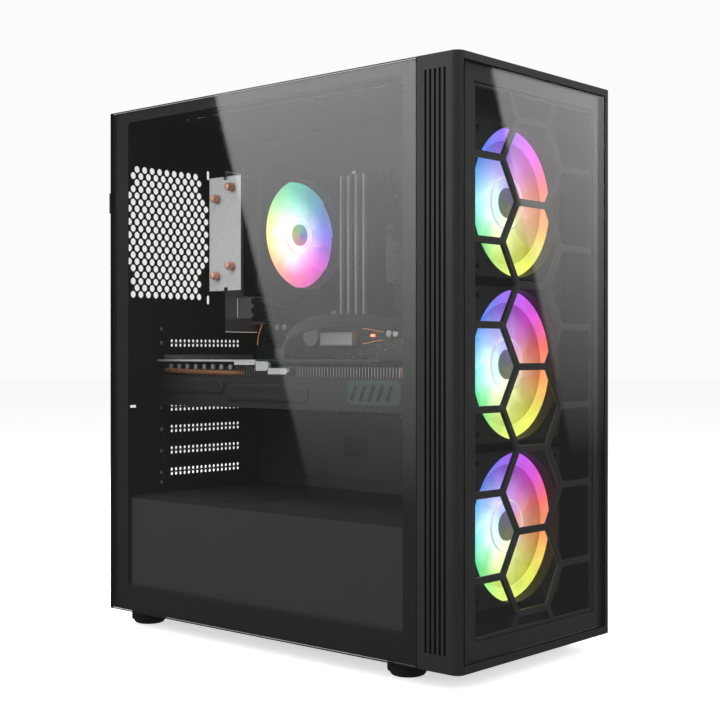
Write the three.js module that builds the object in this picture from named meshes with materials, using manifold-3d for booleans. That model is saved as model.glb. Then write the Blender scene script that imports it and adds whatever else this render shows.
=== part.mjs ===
// A desktop computer tower: steel chassis, glass side and front, and the parts it holds.
// Millimetres. Pieces are placed in the case frame: x from the glass side towards the steel
// side, y from the front towards the rear, z up from the underside of the body. The exported
// group moves that frame so that the origin is under the middle of the case, on the feet.
import * as THREE from 'three';
import { mergeVertices } from 'three/addons/utils/BufferGeometryUtils.js';
import Module from 'manifold-3d';

const wasm = await Module();
wasm.setup();

// ---- Driving sizes of the case ----
const CASE_W = 205; // glass side to steel side
const CASE_D = 398; // bezel front to the outside of the rear panel
const CASE_H = 450; // body without its feet
const BEZEL_D = 39;
const BEZEL_WALL = 3;
const BEZEL_CORNER_R = { glassSide: 7, steelSide: 2 };
const SHEET = 1; // steel sheet
const HEM = 12; // height of the folded edges
const GAP = 0.3; // clearance between pieces that touch
const FOOT_H = 14;
const FOOT_D = 32;
const FOOT_INSET_X = 28;
const FOOT_FRONT_Y = 70;
const FOOT_REAR_INSET = 22;
const SCREW_HEAD_D = 9;
const SCREW_HEAD_L = 7;

// ---- Glass ----
const SIDE_GLASS_T = 4;
const FRONT_GLASS_T = 3;
const GLASS_FRAME_BORDER = { front: 16, rear: 20, bottom: 24, top: 10 }; // behind the printed edge
const GLASS_TAB_Z = [359.5, 377.7];
const GLASS_TAB_OUT = 2.2;
const GLASS_SCREW_INSET = 38;
const FRONT_GLASS_EDGE = 6; // bezel edge left round the front glass
const FRONT_GLASS_SET_BACK = 0.6;

// ---- Front grille ----
const WINDOW_EDGE_LEFT = 24;
const WINDOW_EDGE_RIGHT = 18;
const WINDOW_EDGE_BOTTOM = 20;
const WINDOW_EDGE_TOP = 19;
const GRILLE_Y = 5.2;
const GRILLE_T = 3;
const BEZEL_FACE_T = 4;
const HEX_PITCH_Z = 63;
const HEX_HALF_W = 39.75;
const HEX_HALF_FLAT = 20.2;
const HEX_BAR = 5.5;
const HEX_DROP = 1.5; // of the middle row below the middle fan

// ---- Side slots of the bezel ----
const SLOT_COUNT = 5;
const SLOT_PITCH = 4.43;
const SLOT_W = 1.7;
const SLOT_FIRST_Y = 13;
const SLOT_BOTTOM_Z = 12.6;
const SLOT_TOP_EDGE = 11.3;

// ---- Fans ----
const FAN = { size: 120, depth: 25, bore: 112, hub: 42, blades: 7 };
const FRONT_FAN_TO_WALL = 0.5;
const FRONT_FAN_PITCH = 127;
const FRONT_FAN_MID_Z = 223;
const COOLER_FAN = { size: 114, depth: 25, bore: 106, hub: 40, blades: 7, toBoard: 10.9 };
const BLADE_CLEARANCE = 2;
const ROTOR_INSET = 2.5; // of the hub's face behind the frame's face

// ---- Inside layout: drops are measured down from the top of the board ----
const FRONT_WALL_SETBACK = 7; // from the back of the bezel to the wall that holds the fans
const CABLE_SPACE = 15; // from the tray to the outside of the steel side
const SHROUD_Z = 101;
const SHROUD_SIDE_GAP = 2.4; // from the chassis edge to the shroud's side
const STANDOFF = 6.5;
const BOARD_T = 1.6;
const BOARD_SIZE = { depth: 202, height: 246 };
const BOARD_TOP_CLEARANCE = 37;
const BOARD_REAR_INSET = 3;
const SLOT_PITCH_Z = 20.32; // expansion slots
const SLOT_1_DROP = 171.3;
const SLOT_NUMBERS = 7;
const COVER_H = 18.4;
const COVER_TAB = 5;
const COVER_REACH = [122.4, 3.9]; // ends of a slot cover, out from the board
const CARD_SLOT_REACH = [117.9, 13.9];
const CARD_SLOT_H = 14;
const VENT_DROP = 69;
const VENT_SIZE = { w: 104, h: 122 };
const VENT_TO_IO = 17.7;
const VENT_GRID = { columns: 3, rows: 4, bar: 3 };
const IO_WINDOW = { w: 44.45, h: 158.75, topInset: 1.3, boardOverlap: 3.9 };

const TRAY_CUTS = {
  cooler: 84,
  coolerTall: 110,
  slotW: 22,
  slotTall: 80,
  slotDrop: 3,
  slotPitch: 105,
  slotAhead: 23,
};

// ---- Processor cooler: reach is out from the board, inset is forward from its rear edge ----
const COOLER = { reach: 121.9, length: 90, depth: 43.5, height: 103, inset: 86, drop: 73.5 };
const PIPE_R = 3;
const PIPE_TIP = 3;
const PIPES = [
  { inset: 94.5, low: -29.5, high: 41 },
  { inset: 75, low: -37.8, high: 31.8 },
];
const PIPE_BEND_R = 14;
const BASE = { t: 14, size: 44 };
const SOCKET = { t: 3, size: 50 };
const CPU = { t: 4, size: 38 };

const DRIVE = { inset: 136, drop: 174, length: 42, w: 13, h: 8 };

// ---- Memory ----
const DIMM = { length: 133.35, reach: 41.9, t: 7, pitch: 9.2, firstInset: 177.4, drop: 151, count: 4 };
const DIMM_SLOT = { t: 6.6, h: 5.5, length: 142 };
const FINGER_T = 1.2;
const FINGER_DEPTH = 3;

// ---- Graphics card ----
const CARD = { length: 300, reach: 131.9, drop: 188.8, finger: 88, fingerInset: 144 };
const CARD_SHROUD = { below: 40.2, above: 12.2, wall: 2, reach: 13.9, fan: 88, hub: 30, fanDepth: 9 };
const CARD_FAN_INSETS = [219, 109];
const CARD_FIN = { below: 26.2, above: 3.7 };
const CARD_SOCKET_H = 11;

// ---- Power supply ----
const PSU = { w: 150, l: 150, h: 86, toTray: 10, z0: 4, wall: 1.5, fan: 120, hub: 40, fanDepth: 14 };
const INLET = { w: 27, h: 20, deep: 14, recess: 10, across: 120, z: 30 };
const ROCKER = { w: 14, h: 20, deep: 8, across: 92, z: 30, hole: 22, tiltDeg: -6 };

// ---- Top ----
const FILTER = { left: 44.4, right: 11.7, front: 72.7, rear: 20, t: 1.3, border: 8 };
const TOP_DISH = 1.6;
const TOP_T = 3.4;
const TOP_VENT = { count: 12, bar: 8 };
const PANEL_DEPTH = 22; // middle of the buttons and sockets, back from the front
const BUTTON = { d: 14, t: 5, fromRight: 40 };
const RESET = { d: 7, t: 5, fromRight: 59 };
const IO_BOARD = { fromRight: 77, w: 58, t: 16, h: 14 };
const USB = { w: 12.6, h: 5.2, deep: 11, fromRight: [125, 107] };
const JACK = { d: 4.2, deep: 9, fromRight: [93, 84] };

// ---- Derived places ----
const LEFT = SIDE_GLASS_T + GAP + SHEET + GAP;
const RIGHT = CASE_W - SHEET - GAP;
const FRONT = BEZEL_D + GAP;
const REAR_IN = CASE_D - SHEET;
const TOP_UNDER = CASE_H - TOP_T - GAP;
const FRONT_WALL_Y = BEZEL_D + FRONT_WALL_SETBACK;
const FRONT_FAN_Y = FRONT_WALL_Y - FRONT_FAN_TO_WALL - FAN.depth;
const TRAY_X = CASE_W - CABLE_SPACE;
const SHROUD_X = LEFT + SHROUD_SIDE_GAP;
const BOARD_X1 = TRAY_X - STANDOFF;
const BOARD_X0 = BOARD_X1 - BOARD_T;
const BOARD_Y1 = REAR_IN - BOARD_REAR_INSET;
const BOARD_Y0 = BOARD_Y1 - BOARD_SIZE.depth;
const BOARD_TOP_Z = CASE_H - BOARD_TOP_CLEARANCE;
const CABLE_SLOT_Y = BOARD_Y0 - TRAY_CUTS.slotAhead;
const BOARD_Z0 = BOARD_TOP_Z - BOARD_SIZE.height;
const COVER_X = COVER_REACH.map((reach) => BOARD_X0 - reach);
const CARD_SLOT_X = CARD_SLOT_REACH.map((reach) => BOARD_X0 - reach);
const COVER_Y1 = REAR_IN - GAP;
const COVER_Y0 = COVER_Y1 - SHEET;
const COOLER_X0 = BOARD_X0 - COOLER.reach;
const COOLER_Y0 = BOARD_Y1 - COOLER.inset - COOLER.depth / 2;
const COOLER_MID_Z = BOARD_TOP_Z - COOLER.drop;
const SOCKET_MID_Y = BOARD_Y1 - (PIPES[0].inset + PIPES[1].inset) / 2;
const BASE_X1 = BOARD_X0 - SOCKET.t - CPU.t - 2 * GAP;
const IO_X1 = BOARD_X0 + IO_WINDOW.boardOverlap;
const IO_X0 = IO_X1 - IO_WINDOW.w;
const IO_Z1 = BOARD_TOP_Z - IO_WINDOW.topInset;
const IO_Z0 = IO_Z1 - IO_WINDOW.h;
const VENT_X1 = IO_X0 - VENT_TO_IO;
const VENT_MID_Z = BOARD_TOP_Z - VENT_DROP;
const DIMM_Z0 = BOARD_TOP_Z - DIMM.drop;
const CARD_X0 = BOARD_X0 - CARD.reach;
const CARD_Z = BOARD_TOP_Z - CARD.drop;
const CARD_FINGER_Y = BOARD_Y1 - CARD.fingerInset;
const PSU_X0 = TRAY_X - PSU.toTray - PSU.w;
const PSU_Y1 = REAR_IN - GAP;
const FILTER_X = [LEFT + FILTER.left, RIGHT - FILTER.right];
const FILTER_Y = [FRONT + FILTER.front, CASE_D - FILTER.rear];
const REAR_OUT = CASE_D + GAP + SHEET + SCREW_HEAD_L;

const slotZ = (number) => BOARD_TOP_Z - SLOT_1_DROP - (number - 1) * SLOT_PITCH_Z;
const fromRight = (distance) => CASE_W - distance;

// ---- Materials ----
const finish = (color, roughness, metalness) =>
  new THREE.MeshStandardMaterial({ color, roughness, metalness });
const blackSteel = finish(0x1d1d1d, 0.6, 0.5);
const blackPlastic = finish(0x161616, 0.5, 0);
const rubber = finish(0x101010, 0.9, 0);
const sideGlass = finish(0x23282a, 0.05, 0);
const frontGlass = finish(0x1b1e20, 0.05, 0);
const litPlastic = finish(0xe6b8e8, 0.3, 0);
const boardGreen = finish(0x18211d, 0.5, 0.1);
const aluminium = finish(0xc9cccd, 0.35, 0.9);
const copper = finish(0xc98a64, 0.3, 1);
const brightSteel = finish(0xb8b8b8, 0.4, 0.9);
const mesh = finish(0x222222, 0.8, 0.2);

// ---- Solids ----
/** A closed geometry as a solid that can be cut and joined. */
function solid(geometry) {
  const bare = geometry.clone();
  bare.deleteAttribute('normal');
  bare.deleteAttribute('uv');
  const merged = mergeVertices(bare, 1e-4);
  return new wasm.Manifold(
    new wasm.Mesh({
      numProp: 3,
      vertProperties: new Float32Array(merged.attributes.position.array),
      triVerts: new Uint32Array(merged.index.array),
    }),
  );
}

/** A block between two corners given as [from, to] along x, y and z. */
function block([x0, x1], [y0, y1], [z0, z1]) {
  const shape = new THREE.BoxGeometry(x1 - x0, y1 - y0, z1 - z0);
  return solid(shape.translate((x0 + x1) / 2, (y0 + y1) / 2, (z0 + z1) / 2));
}

/** A round bar along 'x', 'y' or 'z', starting at a point. */
function rod(axis, [x, y, z], length, radius, sides = 24) {
  const shape = new THREE.CylinderGeometry(radius, radius, length, sides);
  shape.translate(0, length / 2, 0);
  if (axis === 'x') shape.rotateZ(-Math.PI / 2);
  if (axis === 'z') shape.rotateX(Math.PI / 2);
  return solid(shape.translate(x, y, z));
}

/** A flat outline in the x-z plane, carried along +y from y0. */
function plate(outline, y0, depth, curveSegments = 4) {
  const shape = new THREE.ExtrudeGeometry(outline, { depth, bevelEnabled: false, curveSegments });
  return solid(shape.rotateX(Math.PI / 2).translate(0, y0 + depth, 0));
}

/** A tube of one radius along a curve. */
function tube(curve, radius, steps, sides) {
  const section = new THREE.Shape();
  for (let i = 0; i < sides; i++) {
    const angle = (i / sides) * 2 * Math.PI;
    const point = [radius * Math.cos(angle), radius * Math.sin(angle)];
    if (i === 0) section.moveTo(...point);
    else section.lineTo(...point);
  }
  section.closePath();
  return solid(new THREE.ExtrudeGeometry(section, { extrudePath: curve, steps }));
}

/** A rectangle outline whose corners are rounded. */
function roundedRect(x0, x1, z0, z1, radius) {
  const outline = new THREE.Shape();
  outline.moveTo(x0 + radius, z0);
  outline.lineTo(x1 - radius, z0);
  outline.absarc(x1 - radius, z0 + radius, radius, -Math.PI / 2, 0, false);
  outline.lineTo(x1, z1 - radius);
  outline.absarc(x1 - radius, z1 - radius, radius, 0, Math.PI / 2, false);
  outline.lineTo(x0 + radius, z1);
  outline.absarc(x0 + radius, z1 - radius, radius, Math.PI / 2, Math.PI, false);
  outline.lineTo(x0, z0 + radius);
  outline.absarc(x0 + radius, z0 + radius, radius, Math.PI, 1.5 * Math.PI, false);
  return outline;
}

const join = (first, ...rest) => rest.reduce((sum, one) => sum.add(one), first);
const cut = (body, ...tools) => tools.reduce((left, tool) => left.subtract(tool), body);

/** A solid as a named mesh. */
function piece(name, body, material) {
  const made = body.getMesh();
  const geometry = new THREE.BufferGeometry();
  geometry.setAttribute('position', new THREE.BufferAttribute(made.vertProperties, 3));
  geometry.setIndex(new THREE.BufferAttribute(made.triVerts, 1));
  geometry.computeVertexNormals();
  const part = new THREE.Mesh(geometry, material);
  part.name = name;
  return part;
}

/** Equal cells of a window, each [from, to], with a bar between neighbours. */
function cells(from, to, count, bar) {
  const size = (to - from - bar * (count - 1)) / count;
  return Array.from({ length: count }, (_, i) => {
    const start = from + i * (size + bar);
    return [start, start + size];
  });
}

/** Cutting blocks for a window divided into a grid, through y. */
function gridCut(xs, zs, ys) {
  return xs.flatMap((x) => zs.map((z) => block(x, ys, z)));
}

// ---- Chassis ----
function bottomPan() {
  const rear = REAR_IN - GAP;
  const floor = block([LEFT, RIGHT], [FRONT, rear], [0, SHEET]);
  const leftHem = block([LEFT, LEFT + SHEET], [FRONT, rear], [0, HEM]);
  const rightHem = block([RIGHT - SHEET, RIGHT], [FRONT, rear], [0, HEM]);
  const ventX = cells(PSU_X0 + 18, PSU_X0 + PSU.w - 18, 9, 5);
  const ventY = [PSU_Y1 - PSU.l / 2 - 50, PSU_Y1 - PSU.l / 2 + 50];
  const vents = ventX.map((x) => block(x, ventY, [-1, SHEET + 1]));
  return piece('bottom_pan', cut(join(floor, leftHem, rightHem), ...vents), blackSteel);
}

function rearPanel() {
  const y = [REAR_IN, CASE_D];
  const through = [REAR_IN - 1, CASE_D + 1];
  const sheet = block([LEFT, RIGHT], y, [SHEET + GAP, TOP_UNDER]);
  const vent = gridCut(
    cells(VENT_X1 - VENT_SIZE.w, VENT_X1, VENT_GRID.columns, VENT_GRID.bar),
    cells(VENT_MID_Z - VENT_SIZE.h / 2, VENT_MID_Z + VENT_SIZE.h / 2, VENT_GRID.rows, VENT_GRID.bar),
    through,
  );
  const ioWindow = block([IO_X0, IO_X1], through, [IO_Z0, IO_Z1]);
  const psuWindow = block(
    [PSU_X0 + 3, PSU_X0 + PSU.w - 3],
    through,
    [PSU.z0 + 3, PSU.z0 + PSU.h - 3],
  );
  const slots = Array.from({ length: SLOT_NUMBERS }, (_, i) => {
    const middle = slotZ(i + 1);
    return block(CARD_SLOT_X, through, [middle - CARD_SLOT_H / 2, middle + CARD_SLOT_H / 2]);
  });
  return piece('rear_panel', cut(sheet, ...vent, ioWindow, psuWindow, ...slots), blackSteel);
}

function topPanel() {
  const grown = ([from, to]) => [from - GAP, to + GAP];
  const dish = { x: grown(FILTER_X), y: grown(FILTER_Y) };
  const dishFloor = CASE_H - TOP_DISH - SHEET;
  const body = block([LEFT, RIGHT], [FRONT, CASE_D], [CASE_H - TOP_T, CASE_H]);
  const pocket = block(dish.x, dish.y, [CASE_H - TOP_DISH, CASE_H + 1]);
  const hollow = cut(
    block([LEFT + SHEET, RIGHT - SHEET], [FRONT + SHEET, CASE_D - SHEET], [0, CASE_H - SHEET]),
    block(
      [dish.x[0] - SHEET, dish.x[1] + SHEET],
      [dish.y[0] - SHEET, dish.y[1] + SHEET],
      [dishFloor, CASE_H],
    ),
  );
  return piece('top_panel', cut(body, pocket, hollow, ...topVentCuts()), blackSteel);
}

/** The slots that run through the top panel and its filter. */
function topVentCuts() {
  const b = FILTER.border;
  return cells(FILTER_Y[0] + b, FILTER_Y[1] - b, TOP_VENT.count, TOP_VENT.bar).map((y) =>
    block([FILTER_X[0] + b, FILTER_X[1] - b], y, [0, CASE_H + 1]),
  );
}

function topDustFilter() {
  const z = [CASE_H - TOP_DISH + GAP, CASE_H - TOP_DISH + GAP + FILTER.t];
  return piece('top_dust_filter', cut(block(FILTER_X, FILTER_Y, z), ...topVentCuts()), mesh);
}

function motherboardTray() {
  const y = [FRONT_WALL_Y + SHEET + GAP, REAR_IN - GAP];
  const x = [TRAY_X, TRAY_X + SHEET];
  const through = [TRAY_X - 1, TRAY_X + SHEET + 1];
  const sheet = block(x, y, [SHEET + GAP, TOP_UNDER]);
  const coolerHole = block(
    through,
    [SOCKET_MID_Y - TRAY_CUTS.cooler / 2, SOCKET_MID_Y + TRAY_CUTS.cooler / 2],
    [COOLER_MID_Z - TRAY_CUTS.coolerTall / 2, COOLER_MID_Z + TRAY_CUTS.coolerTall / 2],
  );
  const slotY = [CABLE_SLOT_Y - TRAY_CUTS.slotW / 2, CABLE_SLOT_Y + TRAY_CUTS.slotW / 2];
  const cableSlots = [0, 1, 2].map((i) => {
    const z = BOARD_TOP_Z - TRAY_CUTS.slotDrop - i * TRAY_CUTS.slotPitch;
    return block(through, slotY, [z - TRAY_CUTS.slotTall, z]);
  });
  const standoffs = [BOARD_Y0 + 8, BOARD_Y1 - 10].flatMap((across) =>
    [BOARD_Z0 + 8, BOARD_Z0 + 92, BOARD_TOP_Z - 8].map((up) =>
      rod('x', [BOARD_X1 + GAP, across, up], STANDOFF, 3, 8),
    ),
  );
  const tray = join(sheet, ...standoffs);
  return piece('motherboard_tray', cut(tray, coolerHole, ...cableSlots), blackSteel);
}

function frontWall() {
  const sheet = block([LEFT, RIGHT], [FRONT_WALL_Y, FRONT_WALL_Y + SHEET], [SHEET + GAP, TOP_UNDER]);
  const leftHem = block([LEFT, LEFT + SHEET], [FRONT, FRONT_WALL_Y + SHEET], [HEM + GAP, TOP_UNDER]);
  const rightHem = block([RIGHT - SHEET, RIGHT], [FRONT, FRONT_WALL_Y + SHEET], [HEM + GAP, TOP_UNDER]);
  const notches = [
    block([0, LEFT + SHEET + GAP], [0, CASE_D], [0, HEM + GAP]),
    block([RIGHT - SHEET - GAP, CASE_W], [0, CASE_D], [0, HEM + GAP]),
  ];
  const holes = fanHeights().map((z) => rod('y', [CASE_W / 2, 0, z], CASE_D, FAN.bore / 2));
  return piece('front_wall', cut(join(sheet, leftHem, rightHem), ...holes, ...notches), blackSteel);
}

function psuShroud() {
  const y = [FRONT_WALL_Y + SHEET + GAP, REAR_IN - GAP];
  const top = block([SHROUD_X, TRAY_X - GAP], y, [SHROUD_Z - SHEET, SHROUD_Z]);
  const side = block([SHROUD_X, SHROUD_X + SHEET], y, [SHEET + GAP, SHROUD_Z]);
  const cablePass = block(
    [TRAY_X - 130, TRAY_X - 30],
    [FRONT_WALL_Y + 12, FRONT_WALL_Y + 30],
    [0, CASE_H],
  );
  return piece('psu_shroud', cut(join(top, side), cablePass), blackSteel);
}

function slotCover(number) {
  const middle = slotZ(number);
  const z = [middle - COVER_H / 2, middle + COVER_H / 2];
  const flat = block(COVER_X, [COVER_Y0, COVER_Y1], z);
  const tab = block([COVER_X[0], COVER_X[0] + SHEET], [COVER_Y1 - COVER_TAB, COVER_Y1], z);
  const vents = cells(CARD_SLOT_X[0] + 8, CARD_SLOT_X[1] - 8, 2, 4).map((x) =>
    block(x, [COVER_Y0 - 1, COVER_Y1 + 1], [middle - 3, middle + 3]),
  );
  return piece(`slot_cover_${number}`, cut(join(flat, tab), ...vents), blackSteel);
}

function rightSidePanel() {
  const y = [FRONT, CASE_D];
  const sheet = block([RIGHT + GAP, CASE_W], y, [0, CASE_H]);
  const flange = block(
    [RIGHT - HEM, CASE_W],
    [CASE_D + GAP, CASE_D + GAP + SHEET],
    [SHEET, CASE_H - SHEET],
  );
  const corner = block(
    [RIGHT + GAP, CASE_W],
    [CASE_D - SHEET, CASE_D + GAP + SHEET],
    [SHEET, CASE_H - SHEET],
  );
  return piece('right_side_panel', join(sheet, flange, corner), blackSteel);
}

// ---- Glass side ----
function sideGlassPanel() {
  const y = [FRONT, CASE_D];
  const frameX = [SIDE_GLASS_T + GAP, SIDE_GLASS_T + GAP + SHEET];
  const b = GLASS_FRAME_BORDER;
  const rearY = CASE_D + GAP;
  const frame = cut(
    block(frameX, [FRONT + SHEET, rearY + SHEET], [SHEET, CASE_H - SHEET]),
    block([0, CASE_W], [FRONT + b.front, CASE_D - b.rear], [b.bottom, CASE_H - b.top]),
  );
  const flange = block([SIDE_GLASS_T + GAP, LEFT + HEM], [rearY, rearY + SHEET], [SHEET, CASE_H - SHEET]);
  const tab = block([SHEET, LEFT + HEM], [rearY, rearY + GLASS_TAB_OUT], GLASS_TAB_Z);
  const screwHoles = glassScrewHeights().map((z) =>
    rod('y', [LEFT + HEM / 2, CASE_D - 1, z], 4, 1.8, 8),
  );
  return [
    piece('side_glass', block([0, SIDE_GLASS_T], y, [0, CASE_H]), sideGlass),
    piece('side_glass_frame', cut(join(frame, flange, tab), ...screwHoles), blackSteel),
  ];
}

const glassScrewHeights = () => [GLASS_SCREW_INSET, CASE_H - GLASS_SCREW_INSET];

function glassThumbscrew(name, z) {
  const y = CASE_D + GAP + SHEET + GAP;
  const x = LEFT + HEM / 2;
  const head = rod('y', [x, y, z], REAR_OUT - y, SCREW_HEAD_D / 2, 16);
  const stem = rod('y', [x, y - SHEET - GAP, z], SHEET + GAP + 1, 1.4, 8);
  return piece(name, join(head, stem), blackSteel);
}

// ---- Front ----
function frontBezel() {
  const [left, right] = [BEZEL_CORNER_R.glassSide, BEZEL_CORNER_R.steelSide];
  const outline = new THREE.Shape()
    .moveTo(0, BEZEL_D + 1)
    .lineTo(0, left)
    .absarc(left, left, left, Math.PI, 1.5 * Math.PI, false)
    .lineTo(CASE_W - right, 0)
    .absarc(CASE_W - right, right, right, 1.5 * Math.PI, 2 * Math.PI, false)
    .lineTo(CASE_W, BEZEL_D + 1);
  const upright = new THREE.ExtrudeGeometry(outline, {
    depth: CASE_H,
    bevelEnabled: false,
    curveSegments: 5,
  });
  const shell = cut(
    solid(upright),
    block([-1, CASE_W + 1], [BEZEL_D, BEZEL_D + 2], [-1, CASE_H + 1]),
    block(
      [BEZEL_WALL, CASE_W - BEZEL_WALL],
      [FRONT_GLASS_SET_BACK + FRONT_GLASS_T + GAP + BEZEL_FACE_T, CASE_D],
      [BEZEL_WALL, CASE_H - BEZEL_WALL],
    ),
    block(
      [FRONT_GLASS_EDGE, CASE_W - FRONT_GLASS_EDGE],
      [-1, FRONT_GLASS_SET_BACK + FRONT_GLASS_T + GAP],
      [FRONT_GLASS_EDGE, CASE_H - FRONT_GLASS_EDGE],
    ),
    block(...grilleWindow(0, [-1, BEZEL_D])),
  );
  const slots = Array.from({ length: SLOT_COUNT }, (_, i) => {
    const middle = SLOT_FIRST_Y + i * SLOT_PITCH;
    return block([-1, CASE_W + 1], [middle - SLOT_W / 2, middle + SLOT_W / 2], [
      SLOT_BOTTOM_Z,
      CASE_H - SLOT_TOP_EDGE,
    ]);
  });
  const topHoles = [
    rod('z', [fromRight(BUTTON.fromRight), PANEL_DEPTH, CASE_H - 10], 20, BUTTON.d / 2 + GAP, 20),
    rod('z', [fromRight(RESET.fromRight), PANEL_DEPTH, CASE_H - 10], 20, RESET.d / 2 + GAP, 16),
    ...USB.fromRight.map(fromRight).map((x) =>
      block(
        [x - USB.w / 2 - GAP, x + USB.w / 2 + GAP],
        [PANEL_DEPTH - USB.h / 2 - GAP, PANEL_DEPTH + USB.h / 2 + GAP],
        [CASE_H - 10, CASE_H + 1],
      ),
    ),
    ...JACK.fromRight.map(fromRight).map((x) =>
      rod('z', [x, PANEL_DEPTH, CASE_H - 10], 20, JACK.d / 2 + GAP, 12),
    ),
  ];
  return piece('front_bezel', cut(shell, ...slots, ...topHoles), blackPlastic);
}

/** The grille's window in the bezel, as block corners, with a clearance all round. */
function grilleWindow(clearance, y) {
  return [
    [WINDOW_EDGE_LEFT + clearance, CASE_W - WINDOW_EDGE_RIGHT - clearance],
    y,
    [WINDOW_EDGE_BOTTOM + clearance, CASE_H - WINDOW_EDGE_TOP - clearance],
  ];
}

function frontGrille() {
  const y = [GRILLE_Y, GRILLE_Y + GRILLE_T];
  const [xs, , zs] = grilleWindow(GAP, y);
  const half = HEX_BAR / 2;
  const slope = HEX_PITCH_Z / 2 / (HEX_HALF_W - HEX_HALF_FLAT);
  const insetV = half;
  const insetSide = (half * Math.hypot(1, slope)) / slope;
  const hexagon = (x, z) => {
    const side = HEX_HALF_W - insetSide;
    const top = HEX_PITCH_Z / 2 - insetV;
    const flat = side - top / slope;
    const points = [[side, 0], [flat, top], [-flat, top], [-side, 0], [-flat, -top], [flat, -top]];
    const outline = new THREE.Shape(points.map(([dx, dz]) => new THREE.Vector2(x + dx, z + dz)));
    return plate(outline, y[0] - 1, GRILLE_T + 2);
  };
  const columnPitch = HEX_HALF_W + HEX_HALF_FLAT;
  const openings = [];
  for (let column = -2; column <= 2; column++) {
    for (let row = -4; row <= 4; row++) {
      const lift = column % 2 === 0 ? HEX_PITCH_Z / 2 : 0;
      const z = FRONT_FAN_MID_Z - HEX_DROP + row * HEX_PITCH_Z + lift;
      openings.push(hexagon(CASE_W / 2 + column * columnPitch, z));
    }
  }
  const sheet = block(xs, y, zs);
  const border = cut(
    sheet,
    block([xs[0] + half, xs[1] - half], [0, BEZEL_D], [zs[0] + half, zs[1] - half]),
  );
  return piece('front_grille', join(cut(sheet, ...openings), border), blackPlastic);
}

function frontGlassPane() {
  const edge = FRONT_GLASS_EDGE + GAP;
  const y = [FRONT_GLASS_SET_BACK, FRONT_GLASS_SET_BACK + FRONT_GLASS_T];
  return piece('front_glass', block([edge, CASE_W - edge], y, [edge, CASE_H - edge]), frontGlass);
}

function pushButton(name, spec) {
  const top = CASE_H - GAP;
  const x = fromRight(spec.fromRight);
  const cap = rod('z', [x, PANEL_DEPTH, top - spec.t], spec.t, spec.d / 2, 20);
  const collar = rod('z', [x, PANEL_DEPTH, top - spec.t - 1], 1.2, spec.d / 2 + 1.4, 20);
  return piece(name, join(cap, collar), blackPlastic);
}

function frontIoBoard() {
  const top = CASE_H - BEZEL_WALL - GAP;
  const x1 = fromRight(IO_BOARD.fromRight);
  const body = block(
    [x1 - IO_BOARD.w, x1],
    [PANEL_DEPTH - IO_BOARD.t / 2, PANEL_DEPTH + IO_BOARD.t / 2],
    [top - IO_BOARD.h, top],
  );
  const usbXs = USB.fromRight.map(fromRight);
  const sockets = usbXs.map((x) =>
    block(
      [x - USB.w / 2, x + USB.w / 2],
      [PANEL_DEPTH - USB.h / 2, PANEL_DEPTH + USB.h / 2],
      [top - USB.deep, CASE_H],
    ),
  );
  const tongues = usbXs.map((x) =>
    block([x - 5.5, x + 5.5], [PANEL_DEPTH + 0.4, PANEL_DEPTH + 2], [top - USB.deep - 1, top - 2]),
  );
  const jacks = JACK.fromRight.map(fromRight).map((x) =>
    rod('z', [x, PANEL_DEPTH, top - JACK.deep], 20, JACK.d / 2, 12),
  );
  return piece('front_io_board', join(cut(body, ...sockets, ...jacks), ...tongues), blackPlastic);
}

// ---- Feet ----
function foot(name, x, y) {
  const r = FOOT_D / 2;
  const profile = [[0, -FOOT_H], [r - 3, -FOOT_H], [r, -FOOT_H + 4], [r, -GAP], [0, -GAP]];
  const shape = new THREE.LatheGeometry(profile.map(([a, b]) => new THREE.Vector2(a, b)), 20);
  const part = piece(name, solid(shape.rotateX(Math.PI / 2)), rubber);
  part.position.set(x, y, 0);
  return part;
}

function feet() {
  const rearY = CASE_D - FOOT_REAR_INSET;
  return [
    foot('foot_front_left', FOOT_INSET_X, FOOT_FRONT_Y),
    foot('foot_front_right', CASE_W - FOOT_INSET_X, FOOT_FRONT_Y),
    foot('foot_rear_left', FOOT_INSET_X, rearY),
    foot('foot_rear_right', CASE_W - FOOT_INSET_X, rearY),
  ];
}

// ---- Fans ----
const fanHeights = () => [1, 0, -1].map((step) => FRONT_FAN_MID_Z + step * FRONT_FAN_PITCH);

/** Blades on a hub turning about y: the hub's front face is at y0. */
function rotor(name, { tip, hub, depth, blades }, y0, material) {
  const length = tip - hub / 2 + 2;
  const middle = hub / 2 - 2 + length / 2;
  const blade = new THREE.BoxGeometry(length, depth * 0.55, 1.4, 3, 1, 1);
  blade.translate(middle, 0, 0);
  const position = blade.attributes.position;
  for (let i = 0; i < position.count; i++) {
    const x = position.getX(i);
    const share = (x - hub / 2) / (tip - hub / 2);
    const turn = new THREE.Vector3(0, position.getY(i), position.getZ(i));
    turn.applyAxisAngle(new THREE.Vector3(1, 0, 0), 0.75 + 0.25 * share);
    position.setXYZ(i, x, turn.y, turn.z);
  }
  const wheel = Array.from({ length: blades }, (_, i) => {
    const turned = blade.clone().rotateY((i / blades) * 2 * Math.PI);
    return solid(turned.translate(0, y0 + depth / 2, 0));
  });
  const hubBody = rod('y', [0, y0, 0], depth, hub / 2, 20);
  return piece(name, join(hubBody, ...wheel), material);
}

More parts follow.
